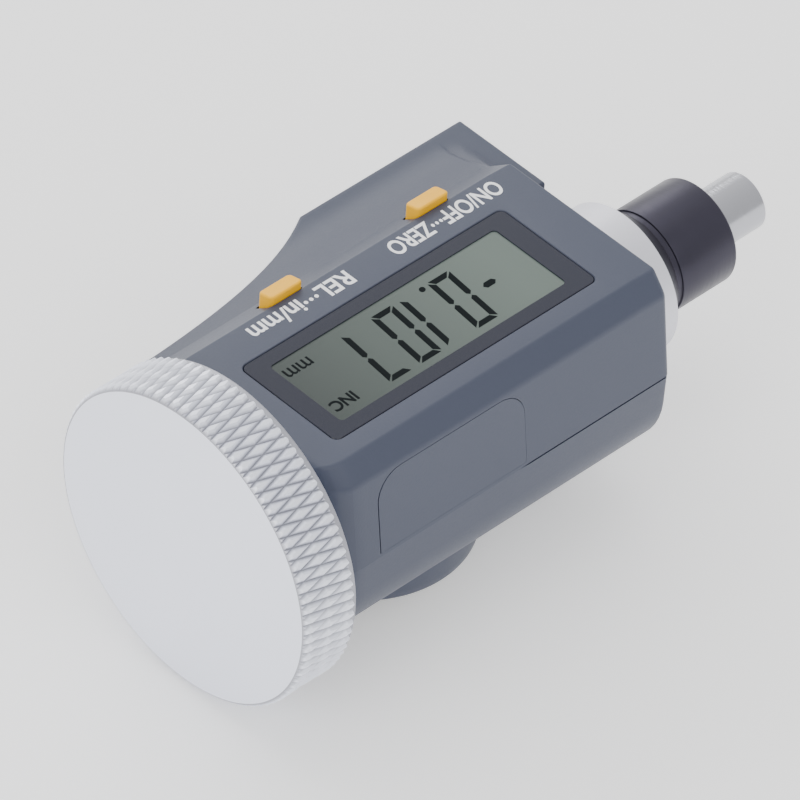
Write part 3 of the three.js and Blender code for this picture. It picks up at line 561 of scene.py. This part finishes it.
def button_slot(node):
    low, high = node_box(node)
    hole = (low.x + KEY_FLANGE - 0.2, high.x - KEY_FLANGE, low.y + 0.2, high.y)
    return plate(node + "_slot", lambda grow: plate_outline(*hole, 0.4, grow),
                 [(low.z - 0.2, 0.1), (FACE_Z + 3, 0.1)])


def cover_prism(name, left=0.0, right=0.0, under=0.0, over=0.0):
    """The side cover's outline, with the given gaps round it, carried across the plain side."""
    x0, x1 = side_low.x - left, side_high.x + right
    z0, z1 = side_low.z - under, side_high.z + over
    corners = [(x0, z0, 0), (x1, z0, 0), (x1, z1, 3.2), (x0, z1, 3.2)]
    outline = filleted(corners, 8, closed=True)
    return loft(name, [[(p.x, y, p.y) for p in outline] for y in (SIDE_Y - 2, SIDE_Y + 4)])


def case_screw_boxes():
    return [node_box(f"case_screw_{i}") for i in (1, 2, 3, 4)]


def screw_tools(name, radius, top):
    tools = []
    for i, (low, high) in enumerate(case_screw_boxes()):
        centre = plan_centre(low, high)
        start = BACK_Z - 3
        tools.append(turned_z(f"{name}_{i}", [(start, 0, 0), (start, radius, 0), (top(low), radius, 0),
                                              (top(low), 0, 0)], centre, sides=48))
    return tools


BOSS_R = 12.4
COVER_BORE_TOP = -8.4
SCREW_POST_R = 2.7
PILOT_R = 1.1
PILOT_TOP = 5.2
HEAD_HOLE_R = 1.9
SHANK_HOLE_R = 1.05


def front_shell():
    shell = case_loft("case_front", 1)
    pocket = plate("pocket", lens_outline, [(lens_low.z - 0.1, 0.07), (FACE_Z - 0.09, 0.07),
                                            (FACE_Z + 0.06, 0.22)])
    window = cuboid("window", (lens_low.x + 1, lens_low.y + 1, FACE_Z - 4),
                    (lens_high.x - 1, lens_high.y - 1, FACE_Z + 1))
    slots = [button_slot("zero_button"), button_slot("unit_button")]
    screws = [turned_z(f"pilot_{i}", [(-2, 0, 0), (-2, PILOT_R, 0), (PILOT_TOP, PILOT_R, 0),
                                      (PILOT_TOP, 0, 0)],
                       plan_centre(low, high), sides=24)
              for i, (low, high) in enumerate(case_screw_boxes())]
    carve(shell, [hollow_loft("hollow_front", 1), barrel_cutter(), pocket, window, *slots,
                  cover_prism("cover_hole", 0.12, 0.03, 0.02, 0.07), *screws])
    paint(shell, case_plastic)
    return place(shell, "housing", "case_plastic", "front_shell")


def side_cover():
    cover = case_loft("side_hatch", 1)
    carve(cover, [cover_prism("cover_keep")], "INTERSECT")
    carve(cover, [hollow_loft("hollow_cover", 1)])
    paint(cover, cover_plastic)
    return place(cover, "housing", "side_cover_plastic", "side_cover")


def rear_shell():
    shell = case_loft("case_rear", -1)
    cell = plan_centre(cover_low, cover_high)
    boss = turned_z("boss", [(BATTERY_BOSS_Z, 0, 0), (BATTERY_BOSS_Z, BOSS_R, 0.35),
                             (BACK_Z + 0.05, BOSS_R + 0.25, 0), (BACK_Z + 3.6, BOSS_R + 0.3, 0),
                             (BACK_Z + 3.6, 0, 0)], cell)
    carve(shell, [boss], "UNION")
    cover_r = (cover_high.x - cover_low.x) / 2
    bore = turned_z("bore", [(BATTERY_BOSS_Z - 1, 0, 0), (BATTERY_BOSS_Z - 1, cover_r + 0.3, 0),
                             (BATTERY_BOSS_Z + 0.15, cover_r + 0.12, 0),
                             (COVER_BORE_TOP, cover_r + 0.12, 0), (COVER_BORE_TOP, 0, 0)], cell)
    hollow = hollow_loft("hollow_rear", -1)
    posts = [turned_z(f"post_{i}", [(BACK_Z - 1, 0, 0), (BACK_Z - 1, SCREW_POST_R, 0),
                                     (2, SCREW_POST_R, 0), (2, 0, 0)],
                      plan_centre(low, high), sides=32)
             for i, (low, high) in enumerate(case_screw_boxes())]
    carve(hollow, posts)
    heads = screw_tools("head", HEAD_HOLE_R, lambda low: low.z + 1.2)
    shanks = screw_tools("shank", SHANK_HOLE_R, lambda low: 1.0)
    carve(shell, [hollow, barrel_cutter(), bore, *heads, *shanks])
    paint(shell, case_plastic)
    return place(shell, "housing", "case_plastic", "rear_shell")


front_shell()
side_cover()
rear_shell()


# ---------------------------------------------------------------- display

LCD_VIEW = (-63.7, -32.75, -6.3, 4.1)     # visible glass: x from, x to, y from, y to
MASK_TOP = FACE_Z - 0.04
GLASS_TOP = FACE_Z - 0.16


def window_mask():
    mask = plate("window_mask", lens_outline, [(lens_low.z, 0), (MASK_TOP - 0.06, 0), (MASK_TOP, -0.06)],
                 mask_ink)
    x0, x1, y0, y1 = LCD_VIEW
    hole = plate("mask_hole", lambda grow: plate_outline(x0, x1, y0, y1, 0.5, grow),
                 [(lens_low.z - 1, 0), (MASK_TOP + 1, 0)])
    carve(mask, [hole])
    paint(mask, mask_ink)
    return place(mask, "housing", "lens_mask", "display_lens")


def display_glass():
    low, high = node_box("lcd_panel")
    glass = plate("display_glass", lambda grow: plate_outline(low.x, high.x, low.y, high.y, 0.3, grow),
                  [(low.z, 0), (GLASS_TOP - 0.02, 0), (GLASS_TOP, -0.02)], lcd_glass)
    return place(glass, "housing", "lcd_glass", "lcd_panel")


DIGIT_HALF_WIDTH = 1.5
DIGIT_HALF_HEIGHT = 4.05
STROKE = 0.68
SEGMENT_GAP = 0.09
DIGIT_SLANT = 0.092
DIGIT_MIDDLE_Y = -1.25


def segment_outlines():
    """The seven segments in reading axes (right, up), each as one outline."""
    w, h, t, g = DIGIT_HALF_WIDTH, DIGIT_HALF_HEIGHT, STROKE, SEGMENT_GAP
    top = [(-w + g + 0.1, h), (w - g - 0.1, h), (w - t - g, h - t), (-w + t + g, h - t)]
    right = [(w, h - g - 0.1), (w, t / 2 + g), (w - t / 2, g), (w - t, t / 2 + g), (w - t, h - t - g)]
    middle = [(-0.85, 0), (-0.5, t / 2 + 0.05), (0.5, t / 2 + 0.05), (0.85, 0),
              (0.5, -t / 2 - 0.05), (-0.5, -t / 2 - 0.05)]
    flip = lambda line, u, v: [(a * u, b * v) for a, b in line]
    return {"a": top, "b": right, "c": flip(right, 1, -1), "d": flip(top, 1, -1),
            "e": flip(right, -1, -1), "f": flip(right, -1, 1), "g": middle}


PRINT_LEVEL = GLASS_TOP + 0.004
INK_HEIGHT = 0.02
DOT_R = 0.36
DOT_AT = (-44.35, 2.45)
READING = [("-", -38.6), ("0", -42.3), ("1", -46.2), ("0", -50.1), ("7", -54.2)]   # mark and its x
DIGITS = {"0": "abcdef", "1": "bc", "7": "abc", "-": "g"}


def reading_outline(name, outline, x, y, level, height, material):
    """A thin printed shape: outline in reading axes, which run along -X and -Y."""
    placed = [(x - (u + DIGIT_SLANT * v), y - v) for u, v in outline]
    return loft(name, [[(a, b, z) for a, b in placed] for z in (level, level + height)], material)


def display_reading():
    """The value -0.107 in seven segments, with its decimal point."""
    shapes = segment_outlines()
    made = []
    for place_number, (mark, x) in enumerate(READING):
        for letter in DIGITS[mark]:
            made.append(reading_outline(f"segment_{place_number}{letter}", shapes[letter], x,
                                        DIGIT_MIDDLE_Y, PRINT_LEVEL, INK_HEIGHT, segment_ink))
    dot = [(DOT_R * math.cos(a), DOT_R * math.sin(a)) for a in (2 * math.pi * k / 24 for k in range(24))]
    made.append(reading_outline("decimal_point", dot, *DOT_AT, PRINT_LEVEL, INK_HEIGHT, segment_ink))
    return made


def label(name, text, x0, x1, y0, y1, level, height, material, bold=0.0):
    """Printed lettering fitted into a rectangle; it reads along -X with its top towards -Y."""
    curve = bpy.data.curves.new(name, "FONT")
    curve.body = text
    curve.offset = bold
    curve.extrude = 0.5
    flat = bpy.data.objects.new(name, curve)
    bpy.context.scene.collection.objects.link(flat)
    depsgraph = bpy.context.evaluated_depsgraph_get()
    mesh = bpy.data.meshes.new_from_object(flat.evaluated_get(depsgraph))
    bpy.data.objects.remove(flat)
    us = [v.co.x for v in mesh.vertices]
    vs = [v.co.y for v in mesh.vertices]
    for v in mesh.vertices:
        across = (v.co.x - min(us)) / (max(us) - min(us))
        up = (v.co.y - min(vs)) / (max(vs) - min(vs))
        v.co = Vector((x1 + (x0 - x1) * across, y1 + (y0 - y1) * up,
                       level + height * (v.co.z + 0.5))) * MM
    return link(name, mesh, material)


LABEL_ROW = (7.45, 9.6)   # y from and to of the labels on the button strip's side
LABEL_LEVEL = FACE_Z + 0.002


def lettering():
    high = [label("zero_label", "ON/OFF···ZERO", -42.9, -27.8, *LABEL_ROW, LABEL_LEVEL,
                  INK_HEIGHT, label_ink, bold=0.02),
            label("unit_label", "REL···in/mm", -61.9, -48.5, *LABEL_ROW, LABEL_LEVEL,
                  INK_HEIGHT, label_ink, bold=0.02)]
    low = [label("unit_mark", "mm", -63.2, -59.8, 1.7, 2.9, PRINT_LEVEL, INK_HEIGHT, segment_ink,
                 bold=0.005),
           label("mode_mark", "INC", -63.0, -59.9, -5.0, -3.5, PRINT_LEVEL, INK_HEIGHT, segment_ink,
                 bold=0.02)]
    return high, low


window_mask()
display_glass()
printed_high, printed_low = lettering()
for piece in display_reading() + printed_low:
    place(piece, "housing", "lcd_segments")
for piece in printed_high:
    place(piece, "housing", "label_white")


# ---------------------------------------------------------------- buttons

def button_cap(node, body):
    """A moulded key: a block with rounded edges and a sloping top, over its flange."""
    low, high = node_box(node)
    x0, x1, y0, y1 = low.x + KEY_FLANGE, high.x - KEY_FLANGE, low.y + 0.2, high.y
    top, slope, soft = high.z, 0.25, 0.26
    levels = [(low.z + 0.5, 0.0)]
    for k in range(7):
        a = k / 6 * math.pi / 2
        levels.append((top - soft + soft * math.sin(a), soft * (1 - math.cos(a))))
    rings = []
    for i, (z, shrink) in enumerate(levels):
        line = plate_outline(x0, x1, y0, y1, 0.5, -shrink)
        fall = slope if i else 0
        rings.append([(p.x, p.y, z - fall * (p.y - y0)) for p in line])
    cap = loft("cap_" + node, rings, button_plastic)
    flange = cuboid("flange_" + node, (low.x, low.y, low.z), (high.x, low.y + 2.0, low.z + 0.6))
    carve(cap, [flange], "UNION")
    paint(cap, button_plastic)
    return place(cap, body, "button_yellow", node)


button_cap("zero_button", "zero_key")
button_cap("unit_button", "unit_key")


# ---------------------------------------------------------------- stem, barrel and spindle

STEM_R = 6.0
STEM_LENGTH = 7.8         # plain part that a clamp holds
STEM_BORE_R = 3.5
STEM_TAIL_R = 5.0         # part of the stem inside the barrel
GROOVE_R = 5.8
GROOVE_LENGTH = 0.86
CONE_LENGTH = 2.4
CONE_TIP_R = 6.1
CONE_RIM = 0.45           # plain rim behind the cone, and its step below the barrel's radius
CHAMBER_R = 7.2
BARREL_LIP = 0.75
LIP_WALL = 0.38
TAIL_BORE_R = 5.3
STEP_IN = 16.9            # from the stem's seat to the barrel's inner step
STEP_LENGTH = 9.3


def stem():
    front = stem_high.x
    groove = front - STEM_LENGTH
    cone = groove - GROOVE_LENGTH
    flange = cone - CONE_LENGTH
    base = barrel_high.z - CONE_RIM
    profile = [(front, STEM_BORE_R, 0.12), (front, STEM_R, 0.35), (groove, STEM_R, 0.1),
               (groove, GROOVE_R, 0.08), (cone, GROOVE_R, 0.08), (cone, CONE_TIP_R, 0.12),
               (flange, base, 0.15), (flange - CONE_RIM, base, 0.1),
               (flange - CONE_RIM, STEM_TAIL_R, 0), (stem_low.x, STEM_TAIL_R, 0.1),
               (stem_low.x, STEM_BORE_R, 0)]
    return place(turned("stem_turned", profile, black_steel, ring=True), "housing", "black_steel", "stem")


def barrel():
    seat = barrel_high.x - BARREL_LIP
    step = seat - STEP_IN
    outer = barrel_high.z
    profile = [(seat, TAIL_BORE_R, 0), (seat, outer - LIP_WALL, 0),
               (barrel_high.x, outer - LIP_WALL, 0.04), (barrel_high.x, outer, 0.1),
               (barrel_low.x, outer, 0.25), (barrel_low.x, CHAMBER_R, 0.1), (step, CHAMBER_R, 0),
               (step, STEM_BORE_R, 0), (step + STEP_LENGTH, STEM_BORE_R, 0),
               (step + STEP_LENGTH, TAIL_BORE_R, 0)]
    return place(turned("barrel_turned", profile, blasted_barrel, ring=True), "housing",
                 "blasted_barrel", "barrel")


SPINDLE_R = 3.25
THREAD_R = 3.6
JOURNAL_R = 3.0
THREAD_BACK = BACK + 1.1
THREAD_FRONT = BACK + 18.1
THREAD_PITCH = 0.5
THREAD_DEPTH = 0.27


def spindle():
    """Ground spindle with its screw thread and the journal that carries the thimble."""
    sides = 96
    profile = filleted([(0, 0, 0), (0, SPINDLE_R, 0.18), (THREAD_FRONT + 1, SPINDLE_R, 0),
                        (THREAD_FRONT, THREAD_R, 0)], 5)
    rows = [(p.x, p.y, False) for p in profile]
    step = THREAD_PITCH / 6
    x = THREAD_FRONT - step
    while x > THREAD_BACK:
        rows.append((x, THREAD_R, True))
        x -= step
    rows += [(THREAD_BACK, JOURNAL_R, False), (spindle_low.x, JOURNAL_R, False), (spindle_low.x, 0, False)]
    rings = []
    for x, radius, threaded in rows:
        ring = []
        for k in range(sides):
            a = 2 * math.pi * k / sides
            phase = (x / THREAD_PITCH + k / sides) % 1
            cut = THREAD_DEPTH * (1 - abs(2 * phase - 1)) if threaded else 0
            ring.append((x, (radius - cut) * math.cos(a), (radius - cut) * math.sin(a)))
        rings.append(ring)
    body = loft("spindle_turned", rings, ground_steel)
    keyway = cuboid("keyway", (key_low.x - 2.2, -0.7, SPINDLE_R - 1.0),
                    (key_high.x + 7.7, 0.7, SPINDLE_R + 1))
    carve(body, [keyway])
    paint(body, ground_steel)
    return place(body, "feed", "ground_steel", "spindle")


stem()
barrel()
spindle()


# ---------------------------------------------------------------- thimble

THIMBLE_R = thimble_high.z
KNURL_COUNT = 88
KNURL_LENGTH = 4.9        # one diamond along the axis
KNURL_DEPTH = 0.45
KNURL_FLAT = 0.4          # share of a diamond left flat at its crest
THIMBLE_BEVEL = 0.45
THIMBLE_FACE = 2.6        # thickness of the closed end
THIMBLE_BORE_R = 3.25


def knurled_bar(name, x0, rows):
    """A long bar covered in raised diamonds, each with four flanks and a flat crest."""
    bm = bmesh.new()
    floor_r = THIMBLE_R - KNURL_DEPTH
    half = KNURL_LENGTH / 2

    def spot(u, x, r):
        a = 2 * math.pi * u / KNURL_COUNT
        return (x, r * math.cos(a), r * math.sin(a))

    floor = {}
    for row in range(rows + 1):
        for k in range(KNURL_COUNT):
            u = k + 0.5 * (row % 2)
            floor[row, k] = bm.verts.new(spot(u, x0 + row * half, floor_r))

    def floor_vert(row, u):
        k = round(u - 0.5 * (row % 2)) % KNURL_COUNT
        return floor[row, k]

    for row in range(1, rows):
        for k in range(KNURL_COUNT):
            u = k + 0.5 * ((row + 1) % 2)
            x = x0 + row * half
            ring = [floor_vert(row - 1, u), floor_vert(row, u + 0.5), floor_vert(row + 1, u),
                    floor_vert(row, u - 0.5)]
            crest = [bm.verts.new(spot(u + du * KNURL_FLAT * 0.5, x + dx * KNURL_FLAT * half,
                                       THIMBLE_R))
                     for du, dx in ((0, -1), (1, 0), (0, 1), (-1, 0))]
            bm.faces.new(crest)
            for i in range(4):
                j = (i + 1) % 4
                bm.faces.new((ring[i], ring[j], crest[j], crest[i]))
    for row in (0, rows):
        inner = row + 1 if row == 0 else row - 1
        for k in range(KNURL_COUNT):
            u = k + 0.5 * (row % 2)
            bm.faces.new((floor_vert(row, u), floor_vert(row, u + 1), floor_vert(inner, u + 0.5)))
        cap = [floor_vert(row, k + 0.5 * (row % 2)) for k in range(KNURL_COUNT)]
        bm.faces.new(cap)
    return finish_mesh(name, bm, None, 12)


def thimble():
    x0, x1 = thimble_low.x, thimble_high.x
    # painted shade: the thimble's colour darkens towards the floor of its knurl grooves
    paint_groove_shade(satin_aluminium, THIMBLE_R - KNURL_DEPTH, THIMBLE_R - KNURL_DEPTH * 0.35)
    bar = knurled_bar("thimble_knurled", x0 - 1.3 * KNURL_LENGTH, 9)
    floor = x0 + THIMBLE_FACE
    envelope = turned("envelope", [
        (x0, 0, 0), (x0, THIMBLE_R - THIMBLE_BEVEL, 0.12),
        (x0 + THIMBLE_BEVEL, THIMBLE_R, 0.05),
        (x1 - 0.75, THIMBLE_R, 0.02), (x1 - 0.7, THIMBLE_R - KNURL_DEPTH, 0),
        (x1 - 0.15, THIMBLE_R - KNURL_DEPTH, 0.05), (x1, THIMBLE_R - 0.6, 0.1), (x1, 9.5, 0.2),
        (x1 - 0.5, 9.3, 0.1), (x1 - 0.5, THIMBLE_BORE_R, 0), (floor, THIMBLE_BORE_R, 0),
        (floor, 0, 0)], sides=264)
    carve(bar, [envelope], "INTERSECT", 12)
    low, high = node_box("thimble_screw")
    screw_x = (low.x + high.x) / 2
    hole = bore_along_radius("screw_bore", screw_x, 1.62, 2.5, THIMBLE_R + 1, 32)
    carve(bar, [hole], sharp_angle=12)
    paint(bar, satin_aluminium)
    return place(bar, "feed", "satin_aluminium", "thimble")


def screw_direction():
    """Unit vector from the axis out through the set screw, in (y, z)."""
    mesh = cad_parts["thimble_screw"].data
    middle = sum((v.co for v in mesh.vertices), Vector()) / len(mesh.vertices)
    return Vector((0, middle.y, middle.z)).normalized()


def bore_along_radius(name, x, radius, start, end, sides, turn=0.0):
    """A cylinder that stands on the axis at x and points out along the set screw."""
    out = screw_direction()
    across = Vector((1, 0, 0))
    third = out.cross(across)
    rings = []
    for s in (start, end):
        ring = []
        for k in range(sides):
            a = 2 * math.pi * k / sides + turn
            point = Vector((x, 0, 0)) + out * s + (across * math.cos(a) + third * math.sin(a)) * radius
            ring.append(tuple(point))
        rings.append(ring)
    return loft(name, rings)


def thimble_screw():
    low, high = node_box("thimble_screw")
    x = (low.x + high.x) / 2
    tip, outer = 3.3, THIMBLE_R - 0.35
    screw = bore_along_radius("set_screw", x, 1.5, tip, outer, 40)
    socket = bore_along_radius("socket", x, 0.82, outer - 1.8, outer + 1, 6)
    carve(screw, [socket])
    paint(screw, ground_steel)
    return place(screw, "feed", "ground_steel", "thimble_screw")


thimble()
thimble_screw()


# ---------------------------------------------------------------- battery cover and case screws

def battery_cover():
    centre = plan_centre(cover_low, cover_high)
    r = (cover_high.x - cover_low.x) / 2
    z0, z1 = cover_low.z, cover_high.z
    disc = turned_z("cover_disc", [(z0 + 0.25, 0, 0), (z0 + 0.25, r - 1.5, 0.1), (z0, r - 1.7, 0.1),
                                   (z0, r, 0.25), (z1, r, 0.1), (z1, 0, 0)], centre, black_plastic)
    slot = plate("coin_slot", lambda grow: plate_outline(centre[0] - 6.5, centre[0] + 6.5,
                                                         centre[1] - 0.85, centre[1] + 0.85, 0.84, grow),
                 [(z0 - 1, 0.2), (z0 + 0.1, 0.2), (z0 + 0.25, 0), (z0 + 0.75, 0)])
    carve(disc, [slot])
    paint(disc, black_plastic)
    return place(disc, "battery_door", "black_plastic", "battery_cover")


def case_screw(index, low, high):
    """A pan-headed screw with a hexagon socket."""
    centre = plan_centre(low, high)
    head = low.z + 1.1
    screw = turned_z(f"screw_{index}", [(low.z, 0, 0), (low.z, 1.7, 0.4), (head, 1.7, 0.05),
                                        (head, 0.85, 0), (high.z, 0.85, 0.2), (high.z, 0, 0)],
                     centre, None, 48)
    socket = turned_z("hexagon", [(low.z - 1, 0, 0), (low.z - 1, 0.75, 0), (low.z + 0.6, 0.75, 0),
                                  (low.z + 0.6, 0, 0)], centre, None, 6)
    carve(screw, [socket])
    paint(screw, black_steel)
    return place(screw, "housing", "black_steel", f"case_screw_{index}")


battery_cover()
for number, (low, high) in enumerate(case_screw_boxes(), 1):
    case_screw(number, low, high)


# ---------------------------------------------------------------- pieces kept from the frame

KEPT = {
    black_plastic: ["lcd_frame", "processor_chip", "zero_switch", "unit_switch", "data_socket"],
    rubber_black: ["zebra_connector", "battery_seal"],
    board_green: ["circuit_board", "switch_board", "encoder_stator", "encoder_rotor"],
    flex_amber: ["stator_flex"],
    brass: ["positive_contact", "negative_contact", "rotor_bearing", "feed_nut"],
    spring_steel: ["battery_cell", "wave_washer"],
    ground_steel: ["rotor_key", "adjusting_nut"],
}


def dress_kept_nodes():
    for material, names in KEPT.items():
        for name in names:
            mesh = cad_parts[name].data
            mesh.materials.clear()
            mesh.materials.append(material)


dress_kept_nodes()


# ---------------------------------------------------------------- floor, light and camera

FLOOR_GAP = 0.2
FLOOR_REACH = 3000
FLOOR_GLOW = 0.4


def floor():
    level = cad_low.z / MM - FLOOR_GAP
    low, reach = level - 1, FLOOR_REACH
    sheet = loft("floor", [[(x, -reach, low), (x, reach, low), (x, reach, low + 1), (x, -reach, low + 1)]
                           for x in (-reach, reach)],
                 surface("floor_paper", (0.93, 0.93, 0.935), 0.9, mottle=0.004))
    shader = sheet.data.materials[0].node_tree.nodes["Principled BSDF"]
    shader.inputs["Emission Color"].default_value = (1, 1, 1, 1)
    shader.inputs["Emission Strength"].default_value = FLOOR_GLOW
    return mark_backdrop(sheet)


ROOM_NEAR = 0.6           # brightness of the room on the near side and beyond the object
ROOM_FAR = 1.3
LAMP_AIM = Vector((-0.040, 0.002, 0.0))


def area_light(name, direction, distance, size, power):
    """A soft light that faces the object from the given direction."""
    lamp = bpy.data.lights.new(name, "AREA")
    lamp.shape = "RECTANGLE"
    lamp.size, lamp.size_y = size
    lamp.energy = power
    obj = bpy.data.objects.new(name, lamp)
    away = Vector(direction).normalized()
    obj.location = LAMP_AIM + away * distance
    obj.rotation_mode = "QUATERNION"
    obj.rotation_quaternion = (-away).to_track_quat("-Z", "Y")
    bpy.context.scene.collection.objects.link(obj)
    return obj


def lighting():
    """A pale room that is brighter beyond the object, with large soft lamps round it."""
    world = bpy.data.worlds.new("studio")
    world.use_nodes = True
    nodes, links = world.node_tree.nodes, world.node_tree.links
    where = nodes.new("ShaderNodeTexCoord")
    facing = nodes.new("ShaderNodeVectorMath")
    facing.operation = "DOT_PRODUCT"
    facing.inputs[1].default_value = (0.72, 0.69, 0.0)
    links.new(where.outputs["Generated"], facing.inputs[0])
    level = nodes.new("ShaderNodeMapRange")
    level.inputs["From Min"].default_value = -1.0
    level.inputs["From Max"].default_value = 1.0
    level.inputs["To Min"].default_value = ROOM_NEAR
    level.inputs["To Max"].default_value = ROOM_FAR
    links.new(facing.outputs["Value"], level.inputs["Value"])
    links.new(level.outputs["Result"], nodes["Background"].inputs["Strength"])
    nodes["Background"].inputs["Color"].default_value = (1, 1, 1, 1)
    bpy.context.scene.world = world
    area_light("overhead", (0.1, 0.25, 1), 1.1, (1.0, 1.0), 3.2)
    area_light("left", (-1, -0.15, 0.45), 1.0, (0.8, 0.8), 5)
    area_light("near", (-0.1, -1, 0.9), 1.0, (0.9, 0.7), 2.8)
    area_light("back", (0.3, 1, 0.6), 1.0, (0.9, 0.5), 4.5)


CAMERA_AZIMUTH = 46.094
CAMERA_ELEVATION = 43.164
CAMERA_ROLL = 3.621
CAMERA_DISTANCE = 943.14
CAMERA_AIM = (-45.372, 3.575, -2.962)
CAMERA_LENS = 420.89


def camera():
    a, e, roll = (math.radians(v) for v in (CAMERA_AZIMUTH, CAMERA_ELEVATION, CAMERA_ROLL))
    forward = Vector((math.sin(a) * math.cos(e), math.cos(a) * math.cos(e), -math.sin(e)))
    level = forward.cross(Vector((0, 0, 1))).normalized()
    upright = level.cross(forward)
    right = level * math.cos(roll) + upright * math.sin(roll)
    up = right.cross(forward)
    data = bpy.data.cameras.new("camera")
    data.sensor_width = 36
    data.lens = CAMERA_LENS
    data.clip_start, data.clip_end = 0.05, 20
    obj = bpy.data.objects.new("camera", data)
    place_at = (Vector(CAMERA_AIM) - forward * CAMERA_DISTANCE) * MM
    turn = Matrix((right, up, -forward)).transposed().to_4x4()
    obj.matrix_world = Matrix.Translation(place_at) @ turn
    bpy.context.scene.collection.objects.link(obj)
    bpy.context.scene.camera = obj


floor()
lighting()
camera()
